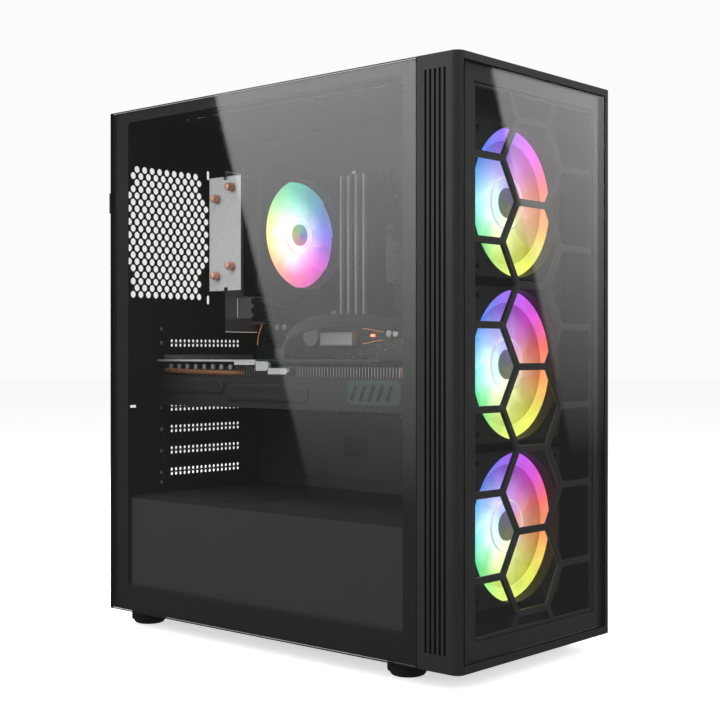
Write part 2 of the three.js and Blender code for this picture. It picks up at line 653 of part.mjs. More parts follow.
/** A square fan facing -y, centred on x and z, its front face at y = 0. */
function fan(frameName, rotorName, spec) {
  const half = spec.size / 2;
  const flange = 3.5;
  const cornerR = 6;
  const sides = 24;
  const strutT = 2.5;
  const outline = roundedRect(-half, half, -half, half, cornerR);
  const bore = rod('y', [0, -1, 0], spec.depth + 2, spec.bore / 2, sides);
  const pocketRing = cut(
    block([-half - 1, half + 1], [flange, spec.depth - flange], [-half - 1, half + 1]),
    rod('y', [0, 0, 0], spec.depth, spec.bore / 2 + 2, sides),
  );
  const mount = rod('y', [0, spec.depth - flange, 0], flange, spec.hub / 2, 12);
  const struts = [0, 1, 2, 3].map((i) => {
    const bar = new THREE.BoxGeometry(spec.bore / 2 + 1, strutT, strutT * 1.6);
    bar.translate(spec.bore / 4 + 0.5, spec.depth - flange + strutT / 2, 0);
    return solid(bar.rotateY(Math.PI / 5 + (i * Math.PI) / 2));
  });
  const frame = join(cut(plate(outline, 0, spec.depth, 2), bore, pocketRing), mount, ...struts);
  const tip = spec.bore / 2 - BLADE_CLEARANCE;
  const size = { tip, hub: spec.hub, depth: spec.depth - flange - 4, blades: spec.blades };
  const wheel = rotor(rotorName, size, ROTOR_INSET, litPlastic);
  const group = new THREE.Group();
  group.add(piece(frameName, frame, blackPlastic), wheel);
  return group;
}

function frontFans() {
  return fanHeights().map((z, i) => {
    const unit = fan(`front_fan_${i + 1}_frame`, `front_fan_${i + 1}_rotor`, FAN);
    unit.position.set(CASE_W / 2, FRONT_FAN_Y, z);
    return unit;
  });
}

// ---- Board and what sits on it ----
function motherboard() {
  const x0 = BOARD_X0;
  const onBoard = (height, y, z) => block([x0 - height, x0 + BOARD_T / 2], y, z);
  const board = block([BOARD_X0, BOARD_X1], [BOARD_Y0, BOARD_Y1], [BOARD_Z0, BOARD_TOP_Z]);
  const yAt = (inset) => BOARD_Y1 - inset;
  const zAt = (drop) => BOARD_TOP_Z - drop;
  const socket = onBoard(
    SOCKET.t,
    [SOCKET_MID_Y - SOCKET.size / 2, SOCKET_MID_Y + SOCKET.size / 2],
    [COOLER_MID_Z - SOCKET.size / 2, COOLER_MID_Z + SOCKET.size / 2],
  );
  const memorySlots = dimmPlaces().map((y) =>
    onBoard(
      DIMM_SLOT.h,
      [y - DIMM_SLOT.t / 2, y + DIMM_SLOT.t / 2],
      [DIMM_Z0 - 4, DIMM_Z0 - 4 + DIMM_SLOT.length],
    ),
  );
  const memoryGrooves = dimmPlaces().map((y) =>
    block(
      [x0 - DIMM_SLOT.h - 1, x0 - DIMM_SLOT.h + FINGER_DEPTH + GAP],
      [y - FINGER_T / 2 - GAP, y + FINGER_T / 2 + GAP],
      [DIMM_Z0 - GAP, DIMM_Z0 + DIMM.length + GAP],
    ),
  );
  const cardSlot = onBoard(
    CARD_SOCKET_H,
    [CARD_FINGER_Y - 3, CARD_FINGER_Y + CARD.finger + 3],
    [CARD_Z - 3.7, CARD_Z + 3.7],
  );
  const cardGroove = block(
    [x0 - CARD_SOCKET_H - 1, x0 - 3],
    [CARD_FINGER_Y - GAP, CARD_FINGER_Y + CARD.finger + GAP],
    [CARD_Z - BOARD_T / 2 - GAP, CARD_Z + BOARD_T / 2 + GAP],
  );
  const smallSlot = onBoard(CARD_SOCKET_H, [yAt(49), yAt(22)], [CARD_Z + 16.6, CARD_Z + 24]);
  const powerSocket = onBoard(CARD_SOCKET_H, [BOARD_Y0 + 2, BOARD_Y0 + 13], [zAt(116), zAt(64)]);
  const battery = rod('x', [x0 - 4, yAt(78), zAt(164.3)], 5, 10, 16);
  const capacitors = [[43.6, 155.2], [33.9, 155.2], [40.8, 183.8]].map(([inset, drop]) =>
    rod('x', [x0 - 9, yAt(inset), zAt(drop)], 10, 3.6, 10),
  );
  const headers = [184, 159, 132, 104, 76].map((inset) =>
    onBoard(7, [yAt(inset), yAt(inset) + 12], [BOARD_Z0 + 6, BOARD_Z0 + 11]),
  );
  const chipset = onBoard(6, [yAt(172), yAt(132)], [zAt(233), zAt(197)]);
  const joined = join(board, socket, ...memorySlots, cardSlot, smallSlot, powerSocket, battery);
  const all = join(joined, ...capacitors, ...headers, chipset);
  return piece('motherboard', cut(all, ...memoryGrooves, cardGroove), boardGreen);
}

const dimmPlaces = () =>
  Array.from({ length: DIMM.count }, (_, i) => BOARD_Y1 - DIMM.firstInset + i * DIMM.pitch);

function memoryModule(number, y) {
  const seat = BOARD_X0 - DIMM_SLOT.h - GAP;
  const z = [DIMM_Z0, DIMM_Z0 + DIMM.length];
  const body = block([BOARD_X0 - DIMM.reach, seat], [y - DIMM.t / 2, y + DIMM.t / 2], z);
  const finger = block([seat - 1, seat + FINGER_DEPTH], [y - FINGER_T / 2, y + FINGER_T / 2], z);
  return piece(`memory_module_${number}`, join(body, finger), blackPlastic);
}

/** Sockets on the rear edge of the board: drop of the middle, width along z, reach from the board. */
const PORTS = [
  { drop: 17, w: 16, h: 17 },
  { drop: 42, w: 16, h: 30 },
  { drop: 67, w: 16, h: 17 },
  { drop: 92, w: 16, h: 30 },
  { drop: 114, w: 14, h: 14 },
  { drop: 136, w: 20, h: 24 },
];

function ioPorts() {
  const y = [BOARD_Y1 - 20, REAR_IN - GAP];
  const x1 = BOARD_X0 - GAP;
  const rail = block([x1 - 8, x1], [y[0], y[1] - 1], [IO_Z0 + 8, IO_Z1 - 8]);
  const middle = (port) => BOARD_TOP_Z - port.drop;
  const shells = PORTS.map((port) =>
    block([x1 - port.h, x1], y, [middle(port) - port.w / 2, middle(port) + port.w / 2]),
  );
  const sockets = PORTS.map((port) =>
    block(
      [x1 - port.h + 1.2, x1 - 1.8],
      [y[1] - 12, y[1] + 1],
      [middle(port) - port.w / 2 + 1.2, middle(port) + port.w / 2 - 1.2],
    ),
  );
  return piece('io_ports', cut(join(rail, ...shells), ...sockets), brightSteel);
}

function ioShield() {
  const z = [IO_Z0 + GAP, IO_Z1 - GAP];
  const sheet = block([IO_X0 + GAP, IO_X1 - GAP], [REAR_IN, CASE_D], z);
  const holes = PORTS.map((port) =>
    block(
      [BOARD_X0 - GAP - port.h, BOARD_X0 - GAP],
      [REAR_IN - 1, CASE_D + 1],
      [BOARD_TOP_Z - port.drop - port.w / 2, BOARD_TOP_Z - port.drop + port.w / 2],
    ),
  );
  return piece('io_shield', cut(sheet, ...holes), brightSteel);
}

function vrmHeatsink() {
  const y = [BOARD_Y1 - 54, BOARD_Y1 - 22];
  const body = block([BOARD_X0 - 30, BOARD_X0 - GAP], y, [IO_Z0 + 10, IO_Z1 - 20]);
  const grooves = cells(y[0] + 3, y[1] - 3, 4, 3).map((ys) =>
    block([0, BOARD_X0 - 12], ys, [0, CASE_H]),
  );
  return piece('vrm_heatsink', cut(body, ...grooves), aluminium);
}

function storageDrive() {
  const y = [BOARD_Y1 - DRIVE.inset, BOARD_Y1 - DRIVE.inset + DRIVE.length];
  const z = [BOARD_TOP_Z - DRIVE.drop, BOARD_TOP_Z - DRIVE.drop + DRIVE.w];
  return piece('m2_drive', block([BOARD_X0 - DRIVE.h, BOARD_X0 - GAP], y, z), aluminium);
}

function processor() {
  const mid = SOCKET_MID_Y;
  const x1 = BOARD_X0 - SOCKET.t - GAP;
  const half = CPU.size / 2;
  const body = block([x1 - CPU.t, x1], [mid - half, mid + half], [COOLER_MID_Z - half, COOLER_MID_Z + half]);
  return piece('processor', body, brightSteel);
}

/** A heat pipe is a flat U: two legs through the fins, joined through the base. */
function pipeCurve({ inset, low, high }) {
  const y = BOARD_Y1 - inset;
  const zLow = COOLER_MID_Z + low;
  const zHigh = COOLER_MID_Z + high;
  const tipX = COOLER_X0 - PIPE_TIP;
  const backX = BASE_X1 - BASE.t / 2;
  const r = PIPE_BEND_R;
  const at = (x, z) => new THREE.Vector3(x, y, z);
  const path = new THREE.CurvePath();
  path.add(new THREE.LineCurve3(at(tipX, zHigh), at(backX - r, zHigh)));
  path.add(new THREE.QuadraticBezierCurve3(at(backX - r, zHigh), at(backX, zHigh), at(backX, zHigh - r)));
  path.add(new THREE.LineCurve3(at(backX, zHigh - r), at(backX, zLow + r)));
  path.add(new THREE.QuadraticBezierCurve3(at(backX, zLow + r), at(backX, zLow), at(backX - r, zLow)));
  path.add(new THREE.LineCurve3(at(backX - r, zLow), at(tipX, zLow)));
  return path;
}

function coolerBase() {
  const mid = SOCKET_MID_Y;
  const half = BASE.size / 2;
  const body = block(
    [BASE_X1 - BASE.t, BASE_X1],
    [mid - half, mid + half],
    [COOLER_MID_Z - half + 6, COOLER_MID_Z + half - 6],
  );
  const pipes = PIPES.map((spec) => tube(pipeCurve(spec), PIPE_R, 24, 8));
  return piece('cooler_base', join(body, ...pipes), copper);
}

function coolerFins() {
  const x = [COOLER_X0, COOLER_X0 + COOLER.length];
  const y = [COOLER_Y0, COOLER_Y0 + COOLER.depth];
  const z = [COOLER_MID_Z - COOLER.height / 2, COOLER_MID_Z + COOLER.height / 2];
  const body = block(x, y, z);
  const comb = cells(x[0] + 2, x[1] - 2, 8, 4);
  const grooves = [[z[0] - 1, z[0] + 6], [z[1] - 6, z[1] + 1]].flatMap((zs) =>
    comb.map((xs) => block(xs, [y[0] - 1, y[1] + 1], zs)),
  );
  const bores = PIPES.flatMap((pipe) =>
    [pipe.low, pipe.high].map((height) =>
      rod(
        'x',
        [x[0] - 1, BOARD_Y1 - pipe.inset, COOLER_MID_Z + height],
        COOLER.length + 2,
        PIPE_R + GAP,
        8,
      ),
    ),
  );
  return piece('cooler_fins', cut(body, ...grooves, ...bores), aluminium);
}

function coolerFan() {
  const unit = fan('cooler_fan_frame', 'cooler_fan_rotor', COOLER_FAN);
  const y = COOLER_Y0 - GAP - COOLER_FAN.depth;
  unit.position.set(BOARD_X0 - COOLER_FAN.toBoard - COOLER_FAN.size / 2, y, COOLER_MID_Z);
  return unit;
}

// ---- Graphics card ----
function graphicsCard() {
  const rear = COVER_Y1 - COVER_TAB - GAP;
  const front = rear - CARD.length;
  const boardX1 = BOARD_X0 - CARD_SOCKET_H - GAP;
  const half = BOARD_T / 2;
  const pcb = block([CARD_X0 + 6, boardX1], [front + 40, rear], [CARD_Z - half, CARD_Z + half]);
  const rearEdge = block(
    [COVER_X[0] + SHEET + 2, boardX1],
    [rear - 1, COVER_Y0 - GAP],
    [CARD_Z - half, CARD_Z + half],
  );
  const finger = block(
    [boardX1 - 1, BOARD_X0 - 4],
    [CARD_FINGER_Y, CARD_FINGER_Y + CARD.finger],
    [CARD_Z - half, CARD_Z + half],
  );
  const backplate = block(
    [CARD_X0 + 4, boardX1 - 2],
    [front + 30, rear],
    [CARD_Z + half, CARD_Z + half + 1.4],
  );
  const spec = CARD_SHROUD;
  const shroudX1 = BOARD_X0 - spec.reach;
  const shroudZ = [CARD_Z - spec.below, CARD_Z - spec.above];
  const finZ = [CARD_Z - CARD_FIN.below, CARD_Z - CARD_FIN.above];
  const sinkX = [CARD_X0 + 8, shroudX1 - 4];
  const sinkY = [front + 12, rear - 8];
  const sink = block(sinkX, sinkY, finZ);
  const finGrooves = cells(sinkY[0] + 3, sinkY[1] - 3, 20, 5).map((y) =>
    block([0, CASE_W], y, [0, finZ[1] - 6]),
  );
  const outer = block([CARD_X0, shroudX1], [front, rear], shroudZ);
  const inner = block(
    [CARD_X0 + spec.wall, shroudX1 - spec.wall],
    [front + spec.wall, rear + 1],
    [shroudZ[0] + spec.wall, CASE_H],
  );
  const fanHoles = cardFanPlaces().map((y) =>
    rod('z', [cardFanX(), y, 0], CASE_H, spec.fan / 2 + BLADE_CLEARANCE, 28),
  );
  const bracketZ = [slotZ(3) - COVER_H / 2, slotZ(2) + COVER_H / 2];
  const bracketFlat = block(COVER_X, [COVER_Y0, COVER_Y1], bracketZ);
  const bracketTab = block([COVER_X[0], COVER_X[0] + SHEET], [COVER_Y1 - COVER_TAB, COVER_Y1], bracketZ);
  const bracketVents = cells(CARD_SLOT_X[0] + 6, CARD_SLOT_X[1] - 10, 4, 5).map((x) =>
    block(x, [COVER_Y0 - 1, COVER_Y1 + 1], [slotZ(3) - 4, slotZ(3) + 4]),
  );
  return [
    piece('gpu_board', join(pcb, rearEdge, finger, backplate), boardGreen),
    piece('gpu_heatsink', cut(sink, ...finGrooves), aluminium),
    piece('gpu_shroud', cut(outer, inner, ...fanHoles), blackPlastic),
    piece('gpu_bracket', cut(join(bracketFlat, bracketTab), ...bracketVents), brightSteel),
    ...cardFanPlaces().map((y, i) => cardFan(i + 1, y)),
  ];
}

const cardFanX = () => (CARD_X0 + BOARD_X0 - CARD_SHROUD.reach) / 2;
const cardFanPlaces = () => CARD_FAN_INSETS.map((inset) => BOARD_Y1 - inset);

function cardFan(number, y) {
  const { fan: d, hub, fanDepth, below } = CARD_SHROUD;
  const size = { tip: d / 2, hub, depth: fanDepth, blades: 9 };
  const wheel = rotor(`gpu_fan_${number}_rotor`, size, 0, blackPlastic);
  wheel.position.set(cardFanX(), y, CARD_Z - below + 1.2);
  wheel.rotation.x = Math.PI / 2;
  return wheel;
}

// ---- Power supply ----
function powerSupply() {
  const x = [PSU_X0, PSU_X0 + PSU.w];
  const y = [PSU_Y1 - PSU.l, PSU_Y1];
  const z = [PSU.z0, PSU.z0 + PSU.h];
  const w = PSU.wall;
  const mid = { x: (x[0] + x[1]) / 2, y: (y[0] + y[1]) / 2 };
  const shell = cut(
    block(x, y, z),
    block([x[0] + w, x[1] - w], [y[0] + w, y[1] - w], [z[0] + w, z[1] - w]),
    rod('z', [mid.x, mid.y, z[0] - 1], w + 2, PSU.fan / 2 + BLADE_CLEARANCE, 28),
    block([x[0] + 60, x[0] + 90], [y[0] - 1, y[0] + w + 1], [z[0] + 30, z[0] + 60]),
    block(...rearCut(INLET, GAP)),
    block(...rearCut({ ...ROCKER, h: ROCKER.hole }, GAP)),
    ...gridCut(cells(x[0] + 10, x[1] - 10, 6, 3), cells(z[0] + 46, z[1] - 6, 3, 3), [y[1] - w - 1, y[1] + 1]),
  );
  const size = { tip: PSU.fan / 2, hub: PSU.hub, depth: PSU.fanDepth, blades: 7 };
  const wheel = rotor('psu_fan_rotor', size, 0, blackPlastic);
  wheel.position.set(mid.x, mid.y, z[0] + w + 1);
  wheel.rotation.x = Math.PI / 2;
  const inletBody = cut(
    block(...rearBlock(INLET, INLET.deep)),
    block(
      [PSU_X0 + INLET.across - INLET.w / 2 + 1.5, PSU_X0 + INLET.across + INLET.w / 2 - 1.5],
      [y[1] - INLET.recess, y[1] + 1],
      [INLET.z - INLET.h / 2 + 1.5, INLET.z + INLET.h / 2 - 1.5],
    ),
  );
  const key = piece('psu_switch', rockerSolid(), blackPlastic);
  key.position.set(PSU_X0 + ROCKER.across, y[1] - ROCKER.deep, ROCKER.z);
  key.rotation.x = THREE.MathUtils.degToRad(ROCKER.tiltDeg);
  return [
    piece('psu_case', shell, blackSteel),
    piece('psu_inlet', inletBody, blackPlastic),
    wheel,
    key,
  ];
}

/** The rocker's side outline: two faces that meet in a shallow valley, and a narrow foot. */
function rockerSolid() {
  const half = ROCKER.h / 2;
  const outline = new THREE.Shape(
    [[0, -4], [ROCKER.deep, -half], [ROCKER.deep - 1.4, 0], [ROCKER.deep, half], [0, 4]].map(
      ([y, z]) => new THREE.Vector2(y, z),
    ),
  );
  const shape = new THREE.ExtrudeGeometry(outline, { depth: ROCKER.w, bevelEnabled: false });
  shape.applyMatrix4(new THREE.Matrix4().makeBasis(
    new THREE.Vector3(0, 1, 0), new THREE.Vector3(0, 0, 1), new THREE.Vector3(1, 0, 0)));
  return solid(shape.translate(-ROCKER.w / 2, 0, 0));
}

/** A cut through the rear wall of the power supply round a fitting. */
function rearCut({ across, z, w, h }, clearance) {
  const x = PSU_X0 + across;
  return [
    [x - w / 2 - clearance, x + w / 2 + clearance],
    [PSU_Y1 - PSU.wall - 1, PSU_Y1 + 1],
    [z - h / 2 - clearance, z + h / 2 + clearance],
  ];
}

/** A fitting's own block, set into the rear wall of the power supply. */
function rearBlock({ across, z, w, h }, deep) {
  const x = PSU_X0 + across;
  return [
    [x - w / 2, x + w / 2],
    [PSU_Y1 - deep, PSU_Y1],
    [z - h / 2, z + h / 2],
  ];
}

// ---- Cables ----
function bundle(name, points, radius, steps) {
  const curve = new THREE.CatmullRomCurve3(points.map((p) => new THREE.Vector3(...p)));
  return piece(name, tube(curve, radius, steps, 10), blackPlastic);
}

/** Each route is a list of reach from the board, distance ahead of its rear edge, and drop. */
function cables() {
  const at = ([reach, inset, drop]) => [BOARD_X0 - reach, BOARD_Y1 - inset, BOARD_TOP_Z - drop];
  const behindTray = -(TRAY_X + 8 - BOARD_X0);
  const slotInset = BOARD_Y1 - CABLE_SLOT_Y;
  const boardPower = [
    [12.3, 194.5, 90],
    [27.3, 198, 91],
    [31.3, 214, 101],
    [15.3, 225, 113],
    [behindTray, slotInset, 121],
  ];
  const cardPower = [
    [CARD.reach - 10, 156, 182],
    [CARD.reach - 14, 180, 176],
    [97.9, 204, 175],
    [69.9, 225, 172],
    [29.9, 227, 156],
    [behindTray, slotInset, 149],
  ];
  return [
    bundle('atx_power_cable', boardPower.map(at), 5, 16),
    bundle('gpu_power_cable', cardPower.map(at), 4, 20),
  ];
}

// ---- Assembly ----
const tower = new THREE.Group();
tower.add(
  bottomPan(),
  rearPanel(),
  topPanel(),
  topDustFilter(),
  motherboardTray(),
  frontWall(),
  psuShroud(),
  ...[1, 4, 5, 6, 7].map(slotCover),
  rightSidePanel(),
  ...sideGlassPanel(),
  ...glassScrewHeights().map((z, i) => glassThumbscrew(`glass_thumbscrew_${i + 1}`, z)),
  frontBezel(),
  frontGrille(),
  frontGlassPane(),
  pushButton('power_button', BUTTON),
  pushButton('reset_button', RESET),
  frontIoBoard(),
  ...feet(),
  ...frontFans(),
  motherboard(),
  ...dimmPlaces().map((y, i) => memoryModule(i + 1, y)),
  ioPorts(),
  ioShield(),
  vrmHeatsink(),
  storageDrive(),
  processor(),
  coolerBase(),
  coolerFins(),
  coolerFan(),
  ...graphicsCard(),
  ...powerSupply(),
  ...cables(),
);
tower.position.set(-CASE_W / 2, -REAR_OUT / 2, FOOT_H);

const model = new THREE.Group();
model.add(tower);

export default model;
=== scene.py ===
"""Looks of a desktop computer tower with a glass side and a glass front.

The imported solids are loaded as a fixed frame, and each class below builds and dresses one
sub-assembly round them. Sizes in the classes are millimetres in the case frame: x runs from
the glass side, y from the front and z up from the underside of the body.
"""

import logging
import math
from dataclasses import dataclass, field
from enum import Enum
from typing import Callable, Iterable, Sequence

import bpy
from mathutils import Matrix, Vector


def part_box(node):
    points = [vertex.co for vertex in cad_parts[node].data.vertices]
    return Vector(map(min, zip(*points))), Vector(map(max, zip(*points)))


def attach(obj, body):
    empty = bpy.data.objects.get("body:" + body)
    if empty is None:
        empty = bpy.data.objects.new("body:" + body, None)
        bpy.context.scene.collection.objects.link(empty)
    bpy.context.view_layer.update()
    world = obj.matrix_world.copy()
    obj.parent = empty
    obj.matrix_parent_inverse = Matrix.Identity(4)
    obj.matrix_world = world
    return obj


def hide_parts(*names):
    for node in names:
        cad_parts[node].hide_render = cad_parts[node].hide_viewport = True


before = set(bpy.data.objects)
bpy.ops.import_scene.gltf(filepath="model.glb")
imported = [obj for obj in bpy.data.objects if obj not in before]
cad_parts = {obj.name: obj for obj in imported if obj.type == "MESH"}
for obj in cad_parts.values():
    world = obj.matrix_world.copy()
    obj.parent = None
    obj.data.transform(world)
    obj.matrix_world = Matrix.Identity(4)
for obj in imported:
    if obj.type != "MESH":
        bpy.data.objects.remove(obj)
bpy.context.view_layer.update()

LOG = logging.getLogger("tower")
MM = 0.001
CASE_DEPTH = 398.0
CASE_HEIGHT = 450.0
BEZEL_BACK_Y = 39.3
MEMORY_COUNT = 4
MEMORY_FIRST_Y = 216.6
MEMORY_PITCH = 9.2
Point = tuple[float, float, float]
Colour = tuple[float, float, float]
Test = Callable[[Vector, Vector], bool]


class Axis(Enum):
    """The axis that a round piece lies along, with the turn that puts it there."""

    X = (0.0, math.pi / 2, 0.0)
    Y = (math.pi / 2, 0.0, 0.0)
    Z = (0.0, 0.0, 0.0)


class Case:
    """The case frame, in millimetres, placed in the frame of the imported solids."""

    origin = Vector(
        (
            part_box("side_glass")[0].x,
            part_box("front_bezel")[0].y,
            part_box("side_glass")[0].z,
        )
    )

    @classmethod
    def at(cls, x: float, y: float, z: float) -> Vector:
        """A point of the case frame in metres."""
        return cls.origin + Vector((x, y, z)) * MM

    @classmethod
    def mm(cls, point: Vector) -> Vector:
        """A point in metres as millimetres of the case frame."""
        return (point - cls.origin) / MM


# ---------------------------------------------------------------------------- finishes
class Wiring:
    """A material's node tree with short calls for the nodes that the finishes share."""

    def __init__(self, name: str) -> None:
        """Starts an empty node material.

        Args:
            name: The material's name.
        """
        self.material = bpy.data.materials.new(name)
        self.material.use_nodes = True
        self.tree = self.material.node_tree
        self.tree.nodes.clear()
        self.output = self.add("ShaderNodeOutputMaterial")

    def add(self, kind: str, **settings: object) -> bpy.types.Node:
        """Adds a node.

        Args:
            kind: The node's type name.
            **settings: Properties to set on it.

        Returns:
            The new node.
        """
        node = self.tree.nodes.new(kind)
        for key, value in settings.items():
            setattr(node, key, value)
        return node

    def link(self, source: bpy.types.NodeSocket, target: bpy.types.NodeSocket) -> None:
        """Joins two sockets."""
        self.tree.links.new(source, target)

    def place(self, centre: Point | None = None) -> bpy.types.NodeSocket:
        """Object coordinates, measured from a centre in metres when one is given."""
        source = self.add("ShaderNodeTexCoord").outputs["Object"]
        if centre is None:
            return source
        mapping = self.add("ShaderNodeMapping")
        mapping.inputs["Location"].default_value = [-c for c in centre]
        self.link(source, mapping.inputs["Vector"])
        return mapping.outputs["Vector"]

    def noise(
        self, scale: float, detail: float = 3.0, stretch: Point = (1.0, 1.0, 1.0)
    ) -> bpy.types.NodeSocket:
        """A noise value over the object's own coordinates.

        Args:
            scale: Cycles to the metre.
            detail: Octaves of the noise.
            stretch: How much finer the pattern is along each axis.

        Returns:
            The noise factor.
        """
        mapping = self.add("ShaderNodeMapping")
        mapping.inputs["Scale"].default_value = stretch
        self.link(self.place(), mapping.inputs["Vector"])
        node = self.add("ShaderNodeTexNoise")
        node.inputs["Scale"].default_value = scale
        node.inputs["Detail"].default_value = detail
        self.link(mapping.outputs["Vector"], node.inputs["Vector"])
        return node.outputs["Fac"]

    def math(self, operation: str, first: object, second: object = 0.0) -> bpy.types.NodeSocket:
        """A math node on two sockets or numbers."""
        node = self.add("ShaderNodeMath", operation=operation)
        for socket, value in zip(node.inputs, (first, second)):
            if isinstance(value, (int, float)):
                socket.default_value = value
            else:
                self.link(value, socket)
        return node.outputs[0]

    def span(
        self, value: bpy.types.NodeSocket, low: float, high: float, start: float, end: float
    ) -> bpy.types.NodeSocket:
        """Carries a value from one range to another."""
        node = self.add("ShaderNodeMapRange")
        sockets = ("From Min", "From Max", "To Min", "To Max")
        for key, number in zip(sockets, (low, high, start, end)):
            node.inputs[key].default_value = number
        self.link(value, node.inputs["Value"])
        return node.outputs["Result"]

    def ramp(
        self, value: bpy.types.NodeSocket, stops: Sequence[tuple[float, Colour]]
    ) -> bpy.types.NodeSocket:
        """A colour ramp.

        Args:
            value: What it reads, from 0 to 1.
            stops: Places on the ramp with their colours.

        Returns:
            The colour.
        """
        node = self.add("ShaderNodeValToRGB")
        elements = node.color_ramp.elements
        elements[0].position, elements[0].color = stops[0][0], (*stops[0][1], 1)
        elements[1].position, elements[1].color = stops[-1][0], (*stops[-1][1], 1)
        for position, colour in stops[1:-1]:
            elements.new(position).color = (*colour, 1)
        self.link(value, node.inputs["Fac"])
        return node.outputs["Color"]

    def principled(self) -> bpy.types.Node:
        """A principled shader joined to the output."""
        node = self.add("ShaderNodeBsdfPrincipled")
        self.link(node.outputs["BSDF"], self.output.inputs["Surface"])
        return node

    def bump(self, height: bpy.types.NodeSocket, depth: float, shader: bpy.types.Node) -> None:
        """Raises a height pattern on a shader, to a depth in metres."""
        node = self.add("ShaderNodeBump")
        node.inputs["Strength"].default_value = 1.0
        node.inputs["Distance"].default_value = depth
        self.link(height, node.inputs["Height"])
        self.link(node.outputs["Normal"], shader.inputs["Normal"])


@dataclass(frozen=True)
class Finish:
    """A solid surface with a grain: colour, shine and relief all vary a little."""

    name: str
    colour: Colour
    roughness: float
    metallic: float = 0.0
    grain: float = 1800.0
    depth: float = 0.00004
    spread: float = 0.25
    stretch: Point = (1.0, 1.0, 1.0)
    coat: float = 0.0

    def material(self) -> bpy.types.Material:
        """The finish as a material, made once."""
        made = bpy.data.materials.get(self.name)
        return made or self.make()

    def make(self) -> bpy.types.Material:
        """Builds the material.

        Returns:
            The new material.
        """
        wiring = Wiring(self.name)
        shader = wiring.principled()
        shader.inputs["Metallic"].default_value = self.metallic
        shader.inputs["Coat Weight"].default_value = self.coat
        grain = wiring.noise(self.grain, 3.0, self.stretch)
        cloud = wiring.noise(9.0, 2.0)
        wiring.link(self.tone(wiring, grain, cloud), shader.inputs["Base Color"])
        mixed = wiring.math("ADD", grain, cloud)
        rough = wiring.span(mixed, 0.5, 1.5, self.roughness * 0.82, min(1.0, self.roughness * 1.18))
        wiring.link(rough, shader.inputs["Roughness"])
        wiring.bump(grain, self.depth, shader)
        self.extra(wiring, shader)
        return wiring.material

    def tone(
        self, wiring: Wiring, grain: bpy.types.NodeSocket, cloud: bpy.types.NodeSocket
    ) -> bpy.types.NodeSocket:
        """The base colour, darker and lighter with the grain."""
        low = tuple(c * (1 - self.spread) for c in self.colour)
        high = tuple(min(1.0, c * (1 + self.spread)) for c in self.colour)
        return wiring.ramp(grain, [(0.3, low), (0.7, high)])

    def extra(self, wiring: Wiring, shader: bpy.types.Node) -> None:
        """What a finish adds to the shared surface; nothing for a plain one."""


@dataclass(frozen=True)
class Lit(Finish):
    """A glowing surface in one colour, with a slow change of strength along it; used for lights and
    also for painted highlights and reflections.
    """

    glow: Colour = (1.0, 1.0, 1.0)
    strength: float = 1.0
    waves: float = 40.0

    def extra(self, wiring: Wiring, shader: bpy.types.Node) -> None:
        """Adds the glow."""
        shader.inputs["Emission Color"].default_value = (*self.glow, 1)
        wave = wiring.noise(self.waves, 1.0)
        strength = wiring.span(wave, 0.3, 0.7, self.strength * 0.6, self.strength * 1.3)
        wiring.link(strength, shader.inputs["Emission Strength"])


@dataclass(frozen=True)
class Rainbow(Finish):
    """Milky plastic lit from a fan's hub, its hue running round the hub.

    Stops of the hue and strength are turns from -0.5 to 0.5, counter-clockwise from +x.
    """

    centre: Point = (0.0, 0.0, 0.0)
    hues: tuple[tuple[float, Colour], ...] = ()
    reach: tuple[float, float] = (0.02, 0.05)
    strengths: tuple[float, float] = (1.0, 0.5)
    sides: tuple[tuple[float, float], ...] = ((-0.5, 1.0), (0.5, 1.0))
    whiten: float = 0.0

    def extra(self, wiring: Wiring, shader: bpy.types.Node) -> None:
        """Adds the hue that runs round the hub."""
        split = wiring.add("ShaderNodeSeparateXYZ")
        wiring.link(wiring.place(self.centre), split.inputs["Vector"])
        across, up = split.outputs["X"], split.outputs["Z"]
        turn = wiring.math("DIVIDE", wiring.math("ARCTAN2", up, across), 2 * math.pi)
        share = wiring.math("ADD", turn, 0.5)
        hue = wiring.ramp(share, [(place + 0.5, colour) for place, colour in self.hues])
        squares = wiring.math(
            "ADD",
            wiring.math("MULTIPLY", across, across),
            wiring.math("MULTIPLY", up, up),
        )
        radius = wiring.math("SQRT", squares)
        fade = wiring.span(radius, *self.reach, *self.strengths)
        side = wiring.ramp(share, [(place + 0.5, (level,) * 3) for place, level in self.sides])
        if self.whiten:
            mix = wiring.add("ShaderNodeMix", data_type="RGBA")
            near = wiring.span(radius, self.reach[0], self.reach[0] * 2.1, self.whiten, 0.0)
            pale = wiring.math("MULTIPLY", near, side)
            wiring.link(pale, mix.inputs["Factor"])
            wiring.link(hue, mix.inputs["A"])
            mix.inputs["B"].default_value = (1, 1, 1, 1)
            hue = mix.outputs["Result"]
        wiring.link(hue, shader.inputs["Emission Color"])
        streak = wiring.span(wiring.noise(60.0, 2.0), 0.3, 0.7, 0.85, 1.1)
        level = wiring.math("MULTIPLY", wiring.math("MULTIPLY", fade, side), streak)
        wiring.link(level, shader.inputs["Emission Strength"])


